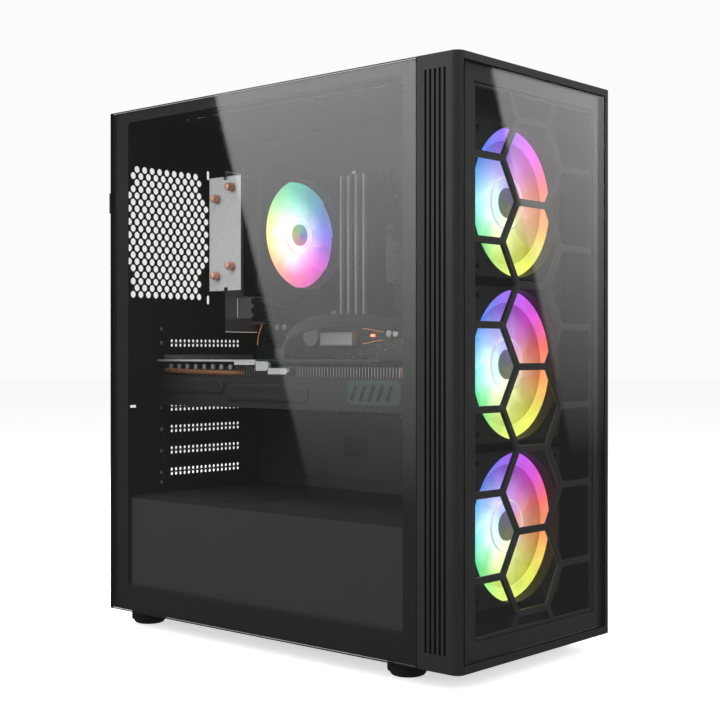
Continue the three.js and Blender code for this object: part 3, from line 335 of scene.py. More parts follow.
@dataclass(frozen=True)
class Glass(Finish):
    """Smoked glass that lets the inside show and mirrors a little, more at a grazing view."""

    tint: Colour = (0.86, 0.87, 0.86)
    mirror: float = 0.045

    def make(self) -> bpy.types.Material:
        """Builds the material.

        Returns:
            The new material.
        """
        wiring = Wiring(self.name)
        shader = wiring.principled()
        shader.inputs["Metallic"].default_value = 1.0
        shader.inputs["Base Color"].default_value = (*self.colour, 1)
        smear = wiring.noise(14.0, 3.0)
        wiring.link(
            wiring.span(smear, 0.3, 0.7, self.roughness * 0.6, self.roughness * 1.4),
            shader.inputs["Roughness"],
        )
        clear = wiring.add("ShaderNodeBsdfTransparent")
        clear.inputs["Color"].default_value = (*self.tint, 1)
        facing = wiring.add("ShaderNodeLayerWeight").outputs["Facing"]
        edge = wiring.math("MULTIPLY", wiring.math("POWER", facing, 4.0), 0.75)
        mix = wiring.add("ShaderNodeMixShader")
        wiring.link(wiring.math("ADD", edge, self.mirror), mix.inputs["Fac"])
        wiring.link(clear.outputs["BSDF"], mix.inputs[1])
        wiring.link(shader.outputs["BSDF"], mix.inputs[2])
        wiring.link(mix.outputs["Shader"], wiring.output.inputs["Surface"])
        return wiring.material


@dataclass(frozen=True)
class Circuit(Finish):
    """Solder mask over copper traces: squared lines slightly raised and lighter."""

    trace: Colour = (0.03, 0.05, 0.04)
    pitch: float = 260.0

    def tone(
        self, wiring: Wiring, grain: bpy.types.NodeSocket, cloud: bpy.types.NodeSocket
    ) -> bpy.types.NodeSocket:
        """Mask colour with trace lines in patches."""
        cells = wiring.add("ShaderNodeTexVoronoi", distance="MANHATTAN", feature="F1")
        cells.inputs["Scale"].default_value = self.pitch
        wiring.link(wiring.place(), cells.inputs["Vector"])
        line = wiring.span(cells.outputs["Distance"], 0.42, 0.5, 0.0, 1.0)
        patch = wiring.span(cloud, 0.42, 0.58, 0.1, 1.0)
        share = wiring.math("MULTIPLY", line, patch)
        return wiring.ramp(share, [(0.1, self.colour), (0.9, self.trace)])


@dataclass(frozen=True)
class Sleeve(Finish):
    """Braided sleeve over wires: fine crossed ribs."""

    rib: float = 900.0

    def extra(self, wiring: Wiring, shader: bpy.types.Node) -> None:
        """Adds the braid."""
        wave = wiring.add("ShaderNodeTexWave", bands_direction="DIAGONAL")
        wave.inputs["Scale"].default_value = self.rib
        wave.inputs["Distortion"].default_value = 1.0
        wiring.link(wiring.place(), wave.inputs["Vector"])
        wiring.bump(wave.outputs["Fac"], self.depth, shader)


HUES_FRONT = (
    (-0.5, (0.06, 0.72, 0.90)),
    (-0.38, (0.08, 0.83, 0.25)),
    (-0.27, (0.72, 0.92, 0.16)),
    (-0.14, (0.84, 0.86, 0.10)),
    (-0.04, (0.94, 0.36, 0.10)),
    (0.05, (0.95, 0.16, 0.14)),
    (0.13, (0.80, 0.08, 0.74)),
    (0.25, (0.34, 0.13, 0.94)),
    (0.37, (0.06, 0.26, 0.95)),
    (0.5, (0.06, 0.72, 0.90)),
)
HUES_COOLER = (
    (-0.5, (0.90, 0.80, 0.22)),
    (-0.38, (0.95, 0.45, 0.22)),
    (-0.25, (0.95, 0.18, 0.45)),
    (-0.12, (0.85, 0.10, 0.72)),
    (0.0, (0.24, 0.16, 0.90)),
    (0.12, (0.07, 0.28, 0.52)),
    (0.25, (0.12, 0.66, 0.50)),
    (0.38, (0.38, 0.84, 0.36)),
    (0.5, (0.90, 0.80, 0.22)),
)
HUES_HUB = (
    (-0.5, (0.17, 0.22, 0.20)),
    (-0.25, (0.24, 0.23, 0.12)),
    (0.0, (0.22, 0.18, 0.19)),
    (0.25, (0.20, 0.16, 0.34)),
    (0.5, (0.17, 0.22, 0.20)),
)
HUES_COOLER_HUB = (
    (-0.5, (0.55, 0.55, 0.20)),
    (-0.25, (0.72, 0.25, 0.45)),
    (0.0, (0.20, 0.22, 0.70)),
    (0.25, (0.20, 0.60, 0.35)),
    (0.5, (0.55, 0.55, 0.20)),
)
POWDER = Finish("powder_coated_steel", (0.017, 0.017, 0.016), 0.55, 0.0, 1500.0, 0.00005, 0.3)
SATIN = Finish("satin_black_plastic", (0.019, 0.019, 0.018), 0.45, 0.0, 2600.0, 0.00003, 0.25)
MATTE = Finish("matte_black_plastic", (0.010, 0.010, 0.010), 0.6, 0.0, 2200.0, 0.00004, 0.3)
GLOSS = Finish("gloss_black_plastic", (0.010, 0.010, 0.011), 0.22, 0.0, 900.0, 0.00001, 0.2)
RUBBER = Finish("foot_rubber", (0.012, 0.012, 0.012), 0.75, 0.0, 900.0, 0.00012, 0.4)
PRINT = Finish("printed_glass_edge", (0.008, 0.008, 0.008), 0.5, 0.0, 1200.0, 0.00001, 0.2)
BRUSHED = Finish(
    "brushed_aluminium", (0.66, 0.67, 0.67), 0.32, 1.0, 500.0, 0.00002, 0.12, (6.0, 6.0, 0.3)
)
NICKEL = Finish("bright_nickel", (0.60, 0.60, 0.59), 0.3, 0.6, 900.0, 0.00001, 0.1)
COPPER = Finish("polished_copper", (0.86, 0.48, 0.36), 0.3, 0.45, 700.0, 0.00001, 0.12)
DULL_COPPER = Finish("dull_copper", (0.28, 0.13, 0.07), 0.35, 0.3, 700.0, 0.00002, 0.25)
DULL_STEEL = Finish("dull_steel", (0.30, 0.31, 0.31), 0.35, 0.3, 700.0, 0.00002, 0.25)
TRAY = Finish("tray_powder", (0.034, 0.035, 0.034), 0.6, 0.0, 1500.0, 0.00005, 0.3)
PLATE = Finish("satin_plate", (0.66, 0.66, 0.68), 0.4, 0.3, 500.0, 0.00002, 0.2, (6.0, 6.0, 0.3))
WHITE_CAP = Finish("white_caps", (0.84, 0.85, 0.82), 0.4, 0.0, 700.0, 0.00002, 0.1)
GREY_METAL = Finish("grey_shroud", (0.022, 0.022, 0.023), 0.4, 0.2, 1600.0, 0.00003, 0.2)
CHIP = Finish("chip_resin", (0.014, 0.014, 0.015), 0.35, 0.0, 1500.0, 0.00002, 0.2)
BOARD = Circuit("solder_mask", (0.012, 0.026, 0.018), 0.4, 0.0, 1400.0, 0.00003, 0.2)
SLEEVE = Sleeve("braided_sleeve", (0.045, 0.045, 0.046), 0.6, 0.0, 1200.0, 0.00012, 0.3)
MESH = Finish("filter_weave", (0.016, 0.016, 0.016), 0.7, 0.0, 3500.0, 0.00008, 0.4)
SMOKED = Glass("smoked_glass", (0.92, 0.93, 0.92), 0.02, tint=(0.95, 0.955, 0.95))
BAR_LIGHT = Lit(
    "memory_light", (0.16, 0.16, 0.16), 0.4, glow=(0.62, 0.72, 0.66), strength=0.16, waves=25.0
)
# Green glow on the card's end block: painted reflection of the front fans' light.
GREEN_SHEEN = Lit(
    "green_sheen", (0.02, 0.03, 0.03), 0.4, glow=(0.08, 0.42, 0.30), strength=0.05, waves=30.0
)
RED_LED = Lit("red_indicator", (0.3, 0.01, 0.01), 0.4, glow=(1.0, 0.05, 0.03), strength=22.0)
# Orange glow on the copper traces: a painted highlight, the copper is no lamp.
PAINTED_TRACE_HIGHLIGHT = Lit("trace_painted_highlight", (0.5, 0.2, 0.08), 0.4, glow=(1.0, 0.34, 0.12), strength=0.5)
HALO = Lit("hub_halo", (0.5, 0.5, 0.5), 0.4, glow=(1.0, 0.86, 0.96), strength=0.6)


# ---------------------------------------------------------------------------- modelling
class Bench:
    """Modelling calls on millimetres of the case frame, all through Blender's operators."""

    @staticmethod
    def only(*objs: bpy.types.Object) -> bpy.types.Object:
        """Selects only these objects and makes the first one active."""
        if bpy.context.mode != "OBJECT":
            bpy.ops.object.mode_set(mode="OBJECT")
        bpy.ops.object.select_all(action="DESELECT")
        for obj in objs:
            obj.select_set(True)
        bpy.context.view_layer.objects.active = objs[0]
        return objs[0]

    @classmethod
    def settle(cls, made: bpy.types.Object) -> bpy.types.Object:
        """Puts an object's place, turn and size into its mesh."""
        cls.only(made)
        bpy.ops.object.transform_apply(location=True, rotation=True, scale=True)
        return made

    @classmethod
    def block(
        cls, low: Point, high: Point, bevel: float = 0.4, segments: int = 2
    ) -> bpy.types.Object:
        """A block between two corners, its edges rounded.

        Args:
            low: The lowest corner.
            high: The highest corner.
            bevel: Width of the rounding; none when 0.
            segments: Steps of the rounding.

        Returns:
            The new object.
        """
        bpy.ops.object.select_all(action="DESELECT")
        a, b = Case.at(*low), Case.at(*high)
        bpy.ops.mesh.primitive_cube_add(size=1, location=(a + b) / 2)
        made = bpy.context.active_object
        made.scale = b - a
        cls.settle(made)
        if bevel:
            cls.bevel(made, bevel, segments)
        return made

    @classmethod
    def rod(
        cls,
        axis: Axis,
        centre: Point,
        radius: float,
        length: float,
        sides: int = 32,
        bevel: float = 0.0,
    ) -> bpy.types.Object:
        """A round bar centred on a point.

        Args:
            axis: The way it lies.
            centre: Its middle.
            radius: Its radius.
            length: Its length.
            sides: Faces round it.
            bevel: Rounding of its rims; none when 0.

        Returns:
            The new object.
        """
        bpy.ops.object.select_all(action="DESELECT")
        bpy.ops.mesh.primitive_cylinder_add(
            vertices=sides,
            radius=radius * MM,
            depth=length * MM,
            location=Case.at(*centre),
            rotation=axis.value,
        )
        made = cls.settle(bpy.context.active_object)
        if bevel:
            cls.bevel(made, bevel, 2)
        return made

    @classmethod
    def bevel(
        cls, made: bpy.types.Object, width: float, segments: int = 2, angle: float = 35.0
    ) -> bpy.types.Object:
        """Rounds the sharp edges of a piece with an applied modifier."""
        cls.only(made)
        bpy.ops.object.modifier_add(type="BEVEL")
        modifier = made.modifiers[-1]
        modifier.width = width * MM
        modifier.segments = segments
        modifier.limit_method = "ANGLE"
        modifier.angle_limit = math.radians(angle)
        modifier.use_clamp_overlap = True
        bpy.ops.object.modifier_apply(modifier=modifier.name)
        return made

    @classmethod
    def pick(cls, made: bpy.types.Object, wanted: Test, edges: bool = False) -> int:
        """Selects faces or edges by their place and direction, and enters edit mode.

        Args:
            made: The piece.
            wanted: Test on the middle, in millimetres, and the face normal or edge direction.
            edges: True to select edges.

        Returns:
            How many were selected.
        """
        cls.only(made)
        bpy.ops.object.mode_set(mode="EDIT")
        bpy.ops.mesh.select_mode(type="EDGE" if edges else "FACE")
        bpy.ops.mesh.select_all(action="DESELECT")
        bpy.ops.object.mode_set(mode="OBJECT")
        mesh, count = made.data, 0
        if edges:
            for edge in mesh.edges:
                a, b = (mesh.vertices[i].co for i in edge.vertices)
                edge.select = wanted(Case.mm((a + b) / 2), (b - a).normalized())
                count += edge.select
        else:
            for face in mesh.polygons:
                face.select = wanted(Case.mm(face.center), face.normal)
                count += face.select
        bpy.ops.object.mode_set(mode="EDIT")
        return count

    @classmethod
    def round_edges(
        cls, made: bpy.types.Object, wanted: Test, radius: float, segments: int = 6
    ) -> bpy.types.Object:
        """Rounds chosen edges of a piece to a radius."""
        if cls.pick(made, wanted, edges=True):
            bpy.ops.mesh.bevel(offset=radius * MM, segments=segments, affect="EDGES", profile=0.5)
        bpy.ops.object.mode_set(mode="OBJECT")
        return made

    @classmethod
    def steps(
        cls, made: bpy.types.Object, wanted: Test, insets: Iterable[tuple[float, float]]
    ) -> bpy.types.Object:
        """Insets chosen faces several times, each with a width and a rise in millimetres."""
        if cls.pick(made, wanted):
            for width, rise in insets:
                bpy.ops.mesh.inset(thickness=width * MM, depth=rise * MM)
        bpy.ops.object.mode_set(mode="OBJECT")
        return made

    @classmethod
    def array(
        cls, made: bpy.types.Object, count: int, step: Point
    ) -> bpy.types.Object:
        """Repeats a piece along a step with an applied modifier."""
        cls.only(made)
        bpy.ops.object.modifier_add(type="ARRAY")
        modifier = made.modifiers[-1]
        modifier.count = count
        modifier.use_relative_offset = False
        modifier.use_constant_offset = True
        modifier.constant_offset_displace = Vector(step) * MM
        bpy.ops.object.modifier_apply(modifier=modifier.name)
        return made

    @classmethod
    def moved(cls, template: bpy.types.Object, offset: Point) -> bpy.types.Object:
        """A copy of a piece with its own mesh, moved by an offset."""
        cls.only(template)
        bpy.ops.object.duplicate()
        copy = bpy.context.active_object
        copy.location += Vector(offset) * MM
        return cls.settle(copy)

    @classmethod
    def repeat(
        cls, template: bpy.types.Object, offsets: Iterable[Point]
    ) -> bpy.types.Object:
        """Copies a piece to several places, and joins the copies into one piece."""
        copies = [cls.moved(template, offset) for offset in offsets]
        bpy.data.objects.remove(template)
        return cls.join(*copies)

    @classmethod
    def turned(
        cls, made: bpy.types.Object, centre: Point, axis: str, degrees: float
    ) -> bpy.types.Object:
        """Turns a piece about an axis through a point."""
        cls.only(made)
        bpy.ops.transform.rotate(
            value=-math.radians(degrees), orient_axis=axis, center_override=Case.at(*centre)
        )
        return cls.settle(made)

    @classmethod
    def join(cls, *objs: bpy.types.Object) -> bpy.types.Object:
        """Joins pieces into the first one."""
        cls.only(*objs)
        if len(objs) > 1:
            bpy.ops.object.join()
        return bpy.context.active_object

    @classmethod
    def cut(cls, made: bpy.types.Object, *tools: bpy.types.Object) -> bpy.types.Object:
        """Cuts tools out of a piece; the tools are used up."""
        for tool in tools:
            cls.only(made)
            bpy.ops.object.modifier_add(type="BOOLEAN")
            modifier = made.modifiers[-1]
            modifier.operation = "DIFFERENCE"
            modifier.solver = "EXACT"
            modifier.object = tool
            bpy.ops.object.modifier_apply(modifier=modifier.name)
            bpy.data.objects.remove(tool)
        return made

    @classmethod
    def tube(cls, points: Sequence[Point], radius: float, sides: int = 5) -> bpy.types.Object:
        """A smooth tube through points, closed at its ends.

        Args:
            points: The points it passes.
            radius: Its radius.
            sides: Half the faces round it, less two.

        Returns:
            The new mesh object.
        """
        curve = bpy.data.curves.new("route", "CURVE")
        curve.dimensions = "3D"
        curve.resolution_u = 6
        curve.bevel_depth = radius * MM
        curve.bevel_resolution = sides - 2
        curve.use_fill_caps = True
        spline = curve.splines.new("NURBS")
        spline.points.add(len(points) - 1)
        for knot, point in zip(spline.points, points):
            knot.co = (*Case.at(*point), 1)
        spline.use_endpoint_u = True
        spline.order_u = 4
        made = bpy.data.objects.new("route", curve)
        bpy.context.scene.collection.objects.link(made)
        cls.only(made)
        bpy.ops.object.convert(target="MESH")
        return bpy.context.active_object

    @classmethod
    def wall(cls, made: bpy.types.Object, thickness: float) -> bpy.types.Object:
        """Gives a sheet a thickness about its middle with an applied modifier."""
        cls.only(made)
        bpy.ops.object.modifier_add(type="SOLIDIFY")
        modifier = made.modifiers[-1]
        modifier.thickness = thickness * MM
        modifier.offset = 0
        bpy.ops.object.modifier_apply(modifier=modifier.name)
        return made

    @classmethod
    def reworked(cls, node: str, width: float, segments: int = 2) -> bpy.types.Object:
        """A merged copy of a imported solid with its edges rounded.

        Args:
            node: The solid's name.
            width: Width of the rounding.
            segments: Steps of the rounding.

        Returns:
            The new object.
        """
        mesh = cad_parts[node].data.copy()
        mesh.materials.clear()
        made = bpy.data.objects.new(node + "_looks", mesh)
        bpy.context.scene.collection.objects.link(made)
        cls.only(made)
        bpy.ops.object.mode_set(mode="EDIT")
        bpy.ops.mesh.select_all(action="SELECT")
        bpy.ops.mesh.remove_doubles(threshold=0.000002)
        bpy.ops.mesh.dissolve_limited(angle_limit=math.radians(0.5))
        bpy.ops.object.mode_set(mode="OBJECT")
        if width:
            cls.bevel(made, width, segments)
        return made

    @classmethod
    def smooth(cls, made: bpy.types.Object, angle: float = 35.0) -> bpy.types.Object:
        """Shades a piece smooth up to an angle, and keeps its large faces flat."""
        cls.only(made)
        bpy.ops.object.shade_smooth_by_angle(angle=math.radians(angle))
        bpy.ops.object.modifier_add(type="WEIGHTED_NORMAL")
        modifier = made.modifiers[-1]
        modifier.weight = 90
        modifier.keep_sharp = True
        bpy.ops.object.modifier_apply(modifier=modifier.name)
        return made


@dataclass
class Part:
    """A sub-assembly: what its classes share to name, dress and mount their pieces."""

    body: str = "chassis"
    made: list[str] = field(default_factory=list)

    def mount(
        self,
        made: bpy.types.Object,
        name: str,
        finish: Finish,
        slot: str,
        *nodes: str,
        body: str = "",
        smooth: bool = True,
    ) -> bpy.types.Object:
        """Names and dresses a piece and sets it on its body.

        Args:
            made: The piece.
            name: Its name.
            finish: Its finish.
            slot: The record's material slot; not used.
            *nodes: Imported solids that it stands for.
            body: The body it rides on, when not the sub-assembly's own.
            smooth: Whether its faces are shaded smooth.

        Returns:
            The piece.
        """
        if smooth:
            Bench.smooth(made)
        made.name = name
        made.data.name = name
        made.data.materials.clear()
        made.data.materials.append(finish.material())
        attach(made, body or self.body)
        if nodes:
            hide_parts(*nodes)
        self.made.append(name)
        LOG.info("%s: %d faces", name, len(made.data.polygons))
        return made

    @staticmethod
    def darken_rim(pane: bpy.types.Object, across: int) -> None:
        """Prints a pane's edges black: every face that looks away from its thickness axis."""
        pane.data.materials.append(PRINT.material())
        for polygon in pane.data.polygons:
            polygon.material_index = int(abs(polygon.normal[across]) < 0.9)

    @staticmethod
    def dress(finish: Finish, *nodes: str) -> None:
        """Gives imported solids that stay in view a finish."""
        for node in nodes:
            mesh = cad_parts[node].data
            mesh.materials.clear()
            mesh.materials.append(finish.material())


# ---------------------------------------------------------------------------- studio
@dataclass
class Studio:
    """Floor, background, lights, reflecting cards and the camera."""

    eye: Point = (-769.2, -585.4, 231.4)
    heading: float = -48.532
    lens: float = 67.385
    shift: float = -0.0086
    side_card_x: float = -1500.0
    front_card_y: float = -1200.0

    def build(self) -> None:
        """Sets up everything round the tower."""
        self.camera()
        self.surroundings()
        self.floor()
        self.cards()
        self.lights()

    def camera(self) -> None:
        """A level camera at eye height with the middle of the case."""
        data = bpy.data.cameras.new("view")
        data.lens = self.lens
        data.sensor_width = 36.0
        data.shift_y = self.shift
        data.clip_start = 0.02
        made = bpy.data.objects.new("view", data)
        made.location = Case.at(*self.eye)
        made.rotation_euler = (math.pi / 2, 0, math.radians(self.heading))
        bpy.context.scene.collection.objects.link(made)
        bpy.context.scene.camera = made
        bpy.context.scene.view_settings.view_transform = "Standard"

    def surroundings(self) -> None:
        """A white background, soft for diffuse light and dim for reflections."""
        world = bpy.data.worlds.new("studio")
        bpy.context.scene.world = world
        world.use_nodes = True
        tree = world.node_tree
        tree.nodes.clear()
        output = tree.nodes.new("ShaderNodeOutputWorld")
        path = tree.nodes.new("ShaderNodeLightPath")
        seen = tree.nodes.new("ShaderNodeBackground")
        seen.inputs["Color"].default_value = (0.97, 0.97, 0.965, 1)
        soft = tree.nodes.new("ShaderNodeBackground")
        soft.inputs["Color"].default_value = (1, 1, 1, 1)
        soft.inputs["Strength"].default_value = 0.42
        dim = tree.nodes.new("ShaderNodeBackground")
        dim.inputs["Color"].default_value = (1, 1, 1, 1)
        dim.inputs["Strength"].default_value = 0.1
        unseen = tree.nodes.new("ShaderNodeMixShader")
        tree.links.new(path.outputs["Is Glossy Ray"], unseen.inputs["Fac"])
        tree.links.new(soft.outputs[0], unseen.inputs[1])
        tree.links.new(dim.outputs[0], unseen.inputs[2])
        mix = tree.nodes.new("ShaderNodeMixShader")
        tree.links.new(path.outputs["Is Camera Ray"], mix.inputs["Fac"])
        tree.links.new(unseen.outputs[0], mix.inputs[1])
        tree.links.new(seen.outputs[0], mix.inputs[2])
        tree.links.new(mix.outputs[0], output.inputs["Surface"])

    def floor(self) -> None:
        """A plain pale floor under the feet."""
        bpy.ops.object.select_all(action="DESELECT")
        bpy.ops.mesh.primitive_circle_add(
            vertices=96, radius=12.0, fill_type="NGON", location=Case.at(102.5, 203.0, -14.0)
        )
        made = Bench.settle(bpy.context.active_object)
        made.name = "studio_floor"
        wiring = Wiring("pale_floor")
        shader = wiring.principled()
        shader.inputs["Roughness"].default_value = 0.9
        cloud = wiring.noise(0.6, 1.0)
        wiring.link(
            wiring.ramp(cloud, [(0.0, (0.80, 0.80, 0.795)), (1.0, (0.84, 0.84, 0.835))]),
            shader.inputs["Base Color"],
        )
        shader.inputs["Emission Color"].default_value = (1, 1, 0.99, 1)
        shader.inputs["Emission Strength"].default_value = 0.62
        made.data.materials.append(wiring.material)
        made.visible_glossy = False
        made.visible_diffuse = False

    def cards(self) -> None:
        """Two soft cards whose slanted edges show in the side and the front glass."""
        k = -self.side_card_x / -self.eye[0]

        def in_side(y: float, z: float) -> Point:
            return (
                self.side_card_x,
                y + (y - self.eye[1]) * k,
                z + (z - self.eye[2]) * k,
            )

        self.card(
            "side_card",
            [in_side(-120, 520), in_side(282.4, 520), in_side(124.2, 54), in_side(-120, 54)],
            in_side(0, 118)[2],
            in_side(0, 450)[2],
            2.75,
        )
        n = self.front_card_y / self.eye[1]

        def in_front(x: float, z: float) -> Point:
            return (
                x + (x - self.eye[0]) * n,
                self.front_card_y,
                z + (z - self.eye[2]) * n,
            )

        self.card(
            "front_card",
            [in_front(12.5, 520), in_front(420, 520), in_front(420, 100), in_front(170, 100)],
            in_front(0, 150)[2],
            in_front(0, 450)[2],
            1.9,
        )

    def card(
        self, name: str, corners: Sequence[Point], dark_z: float, bright_z: float, strength: float
    ) -> None:
        """A glowing card that only reflections see, fading from its top to its foot.

        Args:
            name: Its name.
            corners: Four corners in turn.
            dark_z: Height where its light ends.
            bright_z: Height where it is full.
            strength: Light at that height.
        """
        bpy.ops.object.select_all(action="DESELECT")
        bpy.ops.mesh.primitive_plane_add(size=1)
        made = Bench.settle(bpy.context.active_object)
        made.name = name
        order = (0, 1, 3, 2)
        for vertex, corner in zip(made.data.vertices, order):
            vertex.co = Case.at(*corners[corner])
        wiring = Wiring(name + "_light")
        glow = wiring.add("ShaderNodeEmission")
        split = wiring.add("ShaderNodeSeparateXYZ")
        wiring.link(wiring.place(), split.inputs["Vector"])
        low, high = Case.at(0, 0, dark_z).z, Case.at(0, 0, bright_z).z
        level = wiring.span(split.outputs["Z"], low, high, 0.1, strength)
        wiring.link(level, glow.inputs["Strength"])
        wiring.link(glow.outputs["Emission"], wiring.output.inputs["Surface"])
        made.data.materials.append(wiring.material)
        made.visible_camera = False
        made.visible_diffuse = False
        made.visible_transmission = False
        made.visible_shadow = False

    def lights(self) -> None:
        """Large soft lamps: over the tower, from the glass side and from the front."""
        self.lamp("over_lamp", (-250, -150, 1500), (102, 200, 200), 1.3, 26.0)
        self.lamp("side_lamp", (-1300, 500, 900), (0, 200, 250), 1.0, 16.0)
        self.lamp("front_lamp", (500, -1300, 900), (102, 0, 250), 1.0, 16.0)
        self.lamp("rear_lamp", (300, 1500, 900), (102, 398, 250), 1.2, 22.0)
        self.lamp("right_lamp", (1400, 200, 700), (205, 200, 250), 1.2, 7.0)

    def lamp(self, name: str, place: Point, aim: Point, size: float, power: float) -> None:
        """An area lamp.

        Args:
            name: Its name.
            place: Where it hangs.
            aim: The point it faces.
            size: Its side in metres.
            power: Its power in watts.
        """
        data = bpy.data.lights.new(name, "AREA")
        data.size = size
        data.energy = power
        made = bpy.data.objects.new(name, data)
        made.location = Case.at(*place)
        way = Case.at(*aim) - made.location
        made.rotation_euler = way.to_track_quat("-Z", "Y").to_euler()
        made.visible_camera = False
        made.visible_glossy = False
        bpy.context.scene.collection.objects.link(made)


# ---------------------------------------------------------------------------- fans
@dataclass
class Fan(Part):
    """A square fan with a lit ring, struts behind, and a rotor of milky blades."""

    frame_node: str = ""
    rotor_node: str = ""
    rotor_body: str = ""
    axis_x: float = 102.5
    axis_z: float = 0.0
    face_y: float = 20.5
    size: float = 120.0
    depth: float = 25.0
    bore: float = 112.0
    hub: float = 42.0
    flange: float = 3.5
    tip_gap: float = 2.2
    ring: tuple[float, float] = (48.6, 58.6)
    ringed: bool = True
    recess: float = 9.2
    blades: int = 9
    hues: tuple[tuple[float, Colour], ...] = HUES_FRONT
    hub_hues: tuple[tuple[float, Colour], ...] = HUES_HUB
    bright: float = 1.0
    dim_side: float = 0.6
    dark_share: float = 0.28

    def build(self) -> None:
        """Builds the frame, the lit ring and the rotor."""
        self.frame_piece()
        if self.ringed:
            self.ring_piece()
        self.rotor_piece()

    def point(self, across: float, back: float, up: float) -> Point:
        """A point given from the fan's axis and its front face."""
        return (self.axis_x + across, self.face_y + back, self.axis_z + up)

    def colours(self, part: str, **changes: object) -> Rainbow:
        """The rainbow finish centred on this fan's axis."""
        settings = {
            "name": f"{self.rotor_node}_{part}",
            "colour": (0.07, 0.07, 0.075),
            "roughness": 0.35,
            "centre": tuple(Case.at(self.axis_x, self.face_y, self.axis_z)),
            "hues": self.hues,
        }
        settings.update(changes)
        return Rainbow(**settings)

    def frame_piece(self) -> None:
        """The square housing: bore, recess between the flanges, screw holes and struts."""
        half = self.size / 2
        body = Bench.block(self.point(-half, 0, -half), self.point(half, self.depth, half), 0)
        Bench.round_edges(
            body,
            lambda middle, way: abs(way.y) > 0.9,
            7.0,
            5,
        )
        bore = Bench.rod(
            Axis.Y, self.point(0, self.depth / 2, 0), self.bore / 2, self.depth + 4, 64
        )
        seat = max(self.ring[1], self.bore / 2) + 0.15
        rebate = Bench.rod(Axis.Y, self.point(0, 0, 0), seat, 2 * self.recess + 5.0, 64)
        waist = Bench.block(
            self.point(-half - 2, self.flange, -half - 2),
            self.point(half + 2, self.depth - self.flange, half + 2),
            0,
        )
        core = Bench.rod(
            Axis.Y, self.point(0, self.depth / 2, 0), seat + 1.15, self.depth + 2, 64
        )
        Bench.cut(waist, core)
        corner = self.size * 0.4375
        hole = Bench.rod(Axis.Y, self.point(0, self.depth / 2, 0), 2.2, self.depth + 6, 12)
        holes = Bench.repeat(
            hole, [(a * corner, 0, b * corner) for a in (-1, 1) for b in (-1, 1)]
        )
        Bench.cut(body, waist, bore, rebate, holes)
        Bench.bevel(body, 0.35, 1)
        seat_y = self.depth - 1.75
        cup = Bench.rod(Axis.Y, self.point(0, seat_y, 0), self.hub / 2, 3.4, 40, 0.5)
        arms = []
        for i in range(4):
            arm = Bench.block(
                self.point(self.hub / 2 - 2, seat_y - 1.5, -2.2),
                self.point(self.bore / 2 + 1, seat_y + 1.5, 2.2),
                0.6,
            )
            arms.append(Bench.turned(arm, self.point(0, 0, 0), "Y", 36 + 90 * i))
        self.mount(
            Bench.join(body, cup, *arms), self.frame_node + "_shell", MATTE, "black_plastic",
            self.frame_node,
        )

    def ring_piece(self) -> None:
        """The translucent ring set in the front of the housing."""
        inner, outer = self.ring
        ring = Bench.rod(Axis.Y, self.point(0, self.recess + 1.2, 0), outer, 2.2, 72)
        hole = Bench.rod(Axis.Y, self.point(0, self.recess + 1.2, 0), inner, 8, 72)
        Bench.bevel(Bench.cut(ring, hole), 0.5, 2)
        finish = self.colours(
            "ring",
            reach=(inner * MM, outer * MM),
            strengths=(1.25 * self.bright, 1.4 * self.bright),
        )
        self.mount(ring, self.frame_node + "_light_ring", finish, "fan_blade")

    def rotor_piece(self) -> None:
        """Hub with concentric steps, its lit collar and the overlapping blades."""
        front = self.recess
        length = self.depth - 5.0 - front
        dark = self.hub * self.dark_share
        hub = Bench.rod(
            Axis.Y, self.point(0, front + length / 2, 0), dark, length, 48
        )
        Bench.steps(
            hub,
            lambda middle, way: way.y < -0.9,
            [(0.8, -0.5), (1.8, 0.0), (0.5, 0.5), (2.0, 0.0), (0.5, -0.5), (2.0, 0.0), (0.5, 0.6)],
        )
        lit = self.colours(
            "hub", hues=self.hub_hues, reach=(0.0, 0.03), strengths=(0.85, 0.85), colour=(0.04,) * 3
        )
        self.mount(hub, self.rotor_node + "_hub", lit, "fan_blade", body=self.rotor_body)
        halo = Bench.rod(Axis.Y, self.point(0, front + 1.2, 0), self.hub / 2, 2.0, 72)
        Bench.cut(halo, Bench.rod(Axis.Y, self.point(0, front, 0), self.hub / 2 - 0.7, 9.0, 72))
        self.mount(halo, self.rotor_node + "_halo", HALO, "fan_blade", body=self.rotor_body)
        collar = Bench.rod(
            Axis.Y, self.point(0, front + length / 2, 0), self.hub / 2 - 0.9, length - 0.8, 64
        )
        middle = self.point(0, front + length / 2, 0)
        Bench.cut(collar, Bench.rod(Axis.Y, middle, dark + 0.2, length + 4, 48))
        Bench.bevel(collar, 0.8, 2)
        blade = self.blade()
        wheel = [
            Bench.turned(
                Bench.moved(blade, (0, 0, 0)), self.point(0, 0, 0), "Y", i * 360 / self.blades
            )
            for i in range(self.blades)
        ]
        bpy.data.objects.remove(blade)
        finish = self.colours(
            "glow",
            reach=(self.hub / 2 * MM, 0.9 * self.bore / 2 * MM),
            strengths=(1.8 * self.bright, 1.0 * self.bright),
            sides=(
                (-0.5, 1.0),
                (-0.3, 0.95),
                (-0.12, self.dim_side),
                (0.05, self.dim_side),
                (0.2, self.dim_side),
                (0.35, 0.8),
                (0.5, 1.0),
            ),
            whiten=0.55,
        )
        self.mount(
            Bench.join(collar, *wheel),
            self.rotor_node + "_blades",
            finish,
            "fan_blade",
            self.rotor_node,
            body=self.rotor_body,
        )

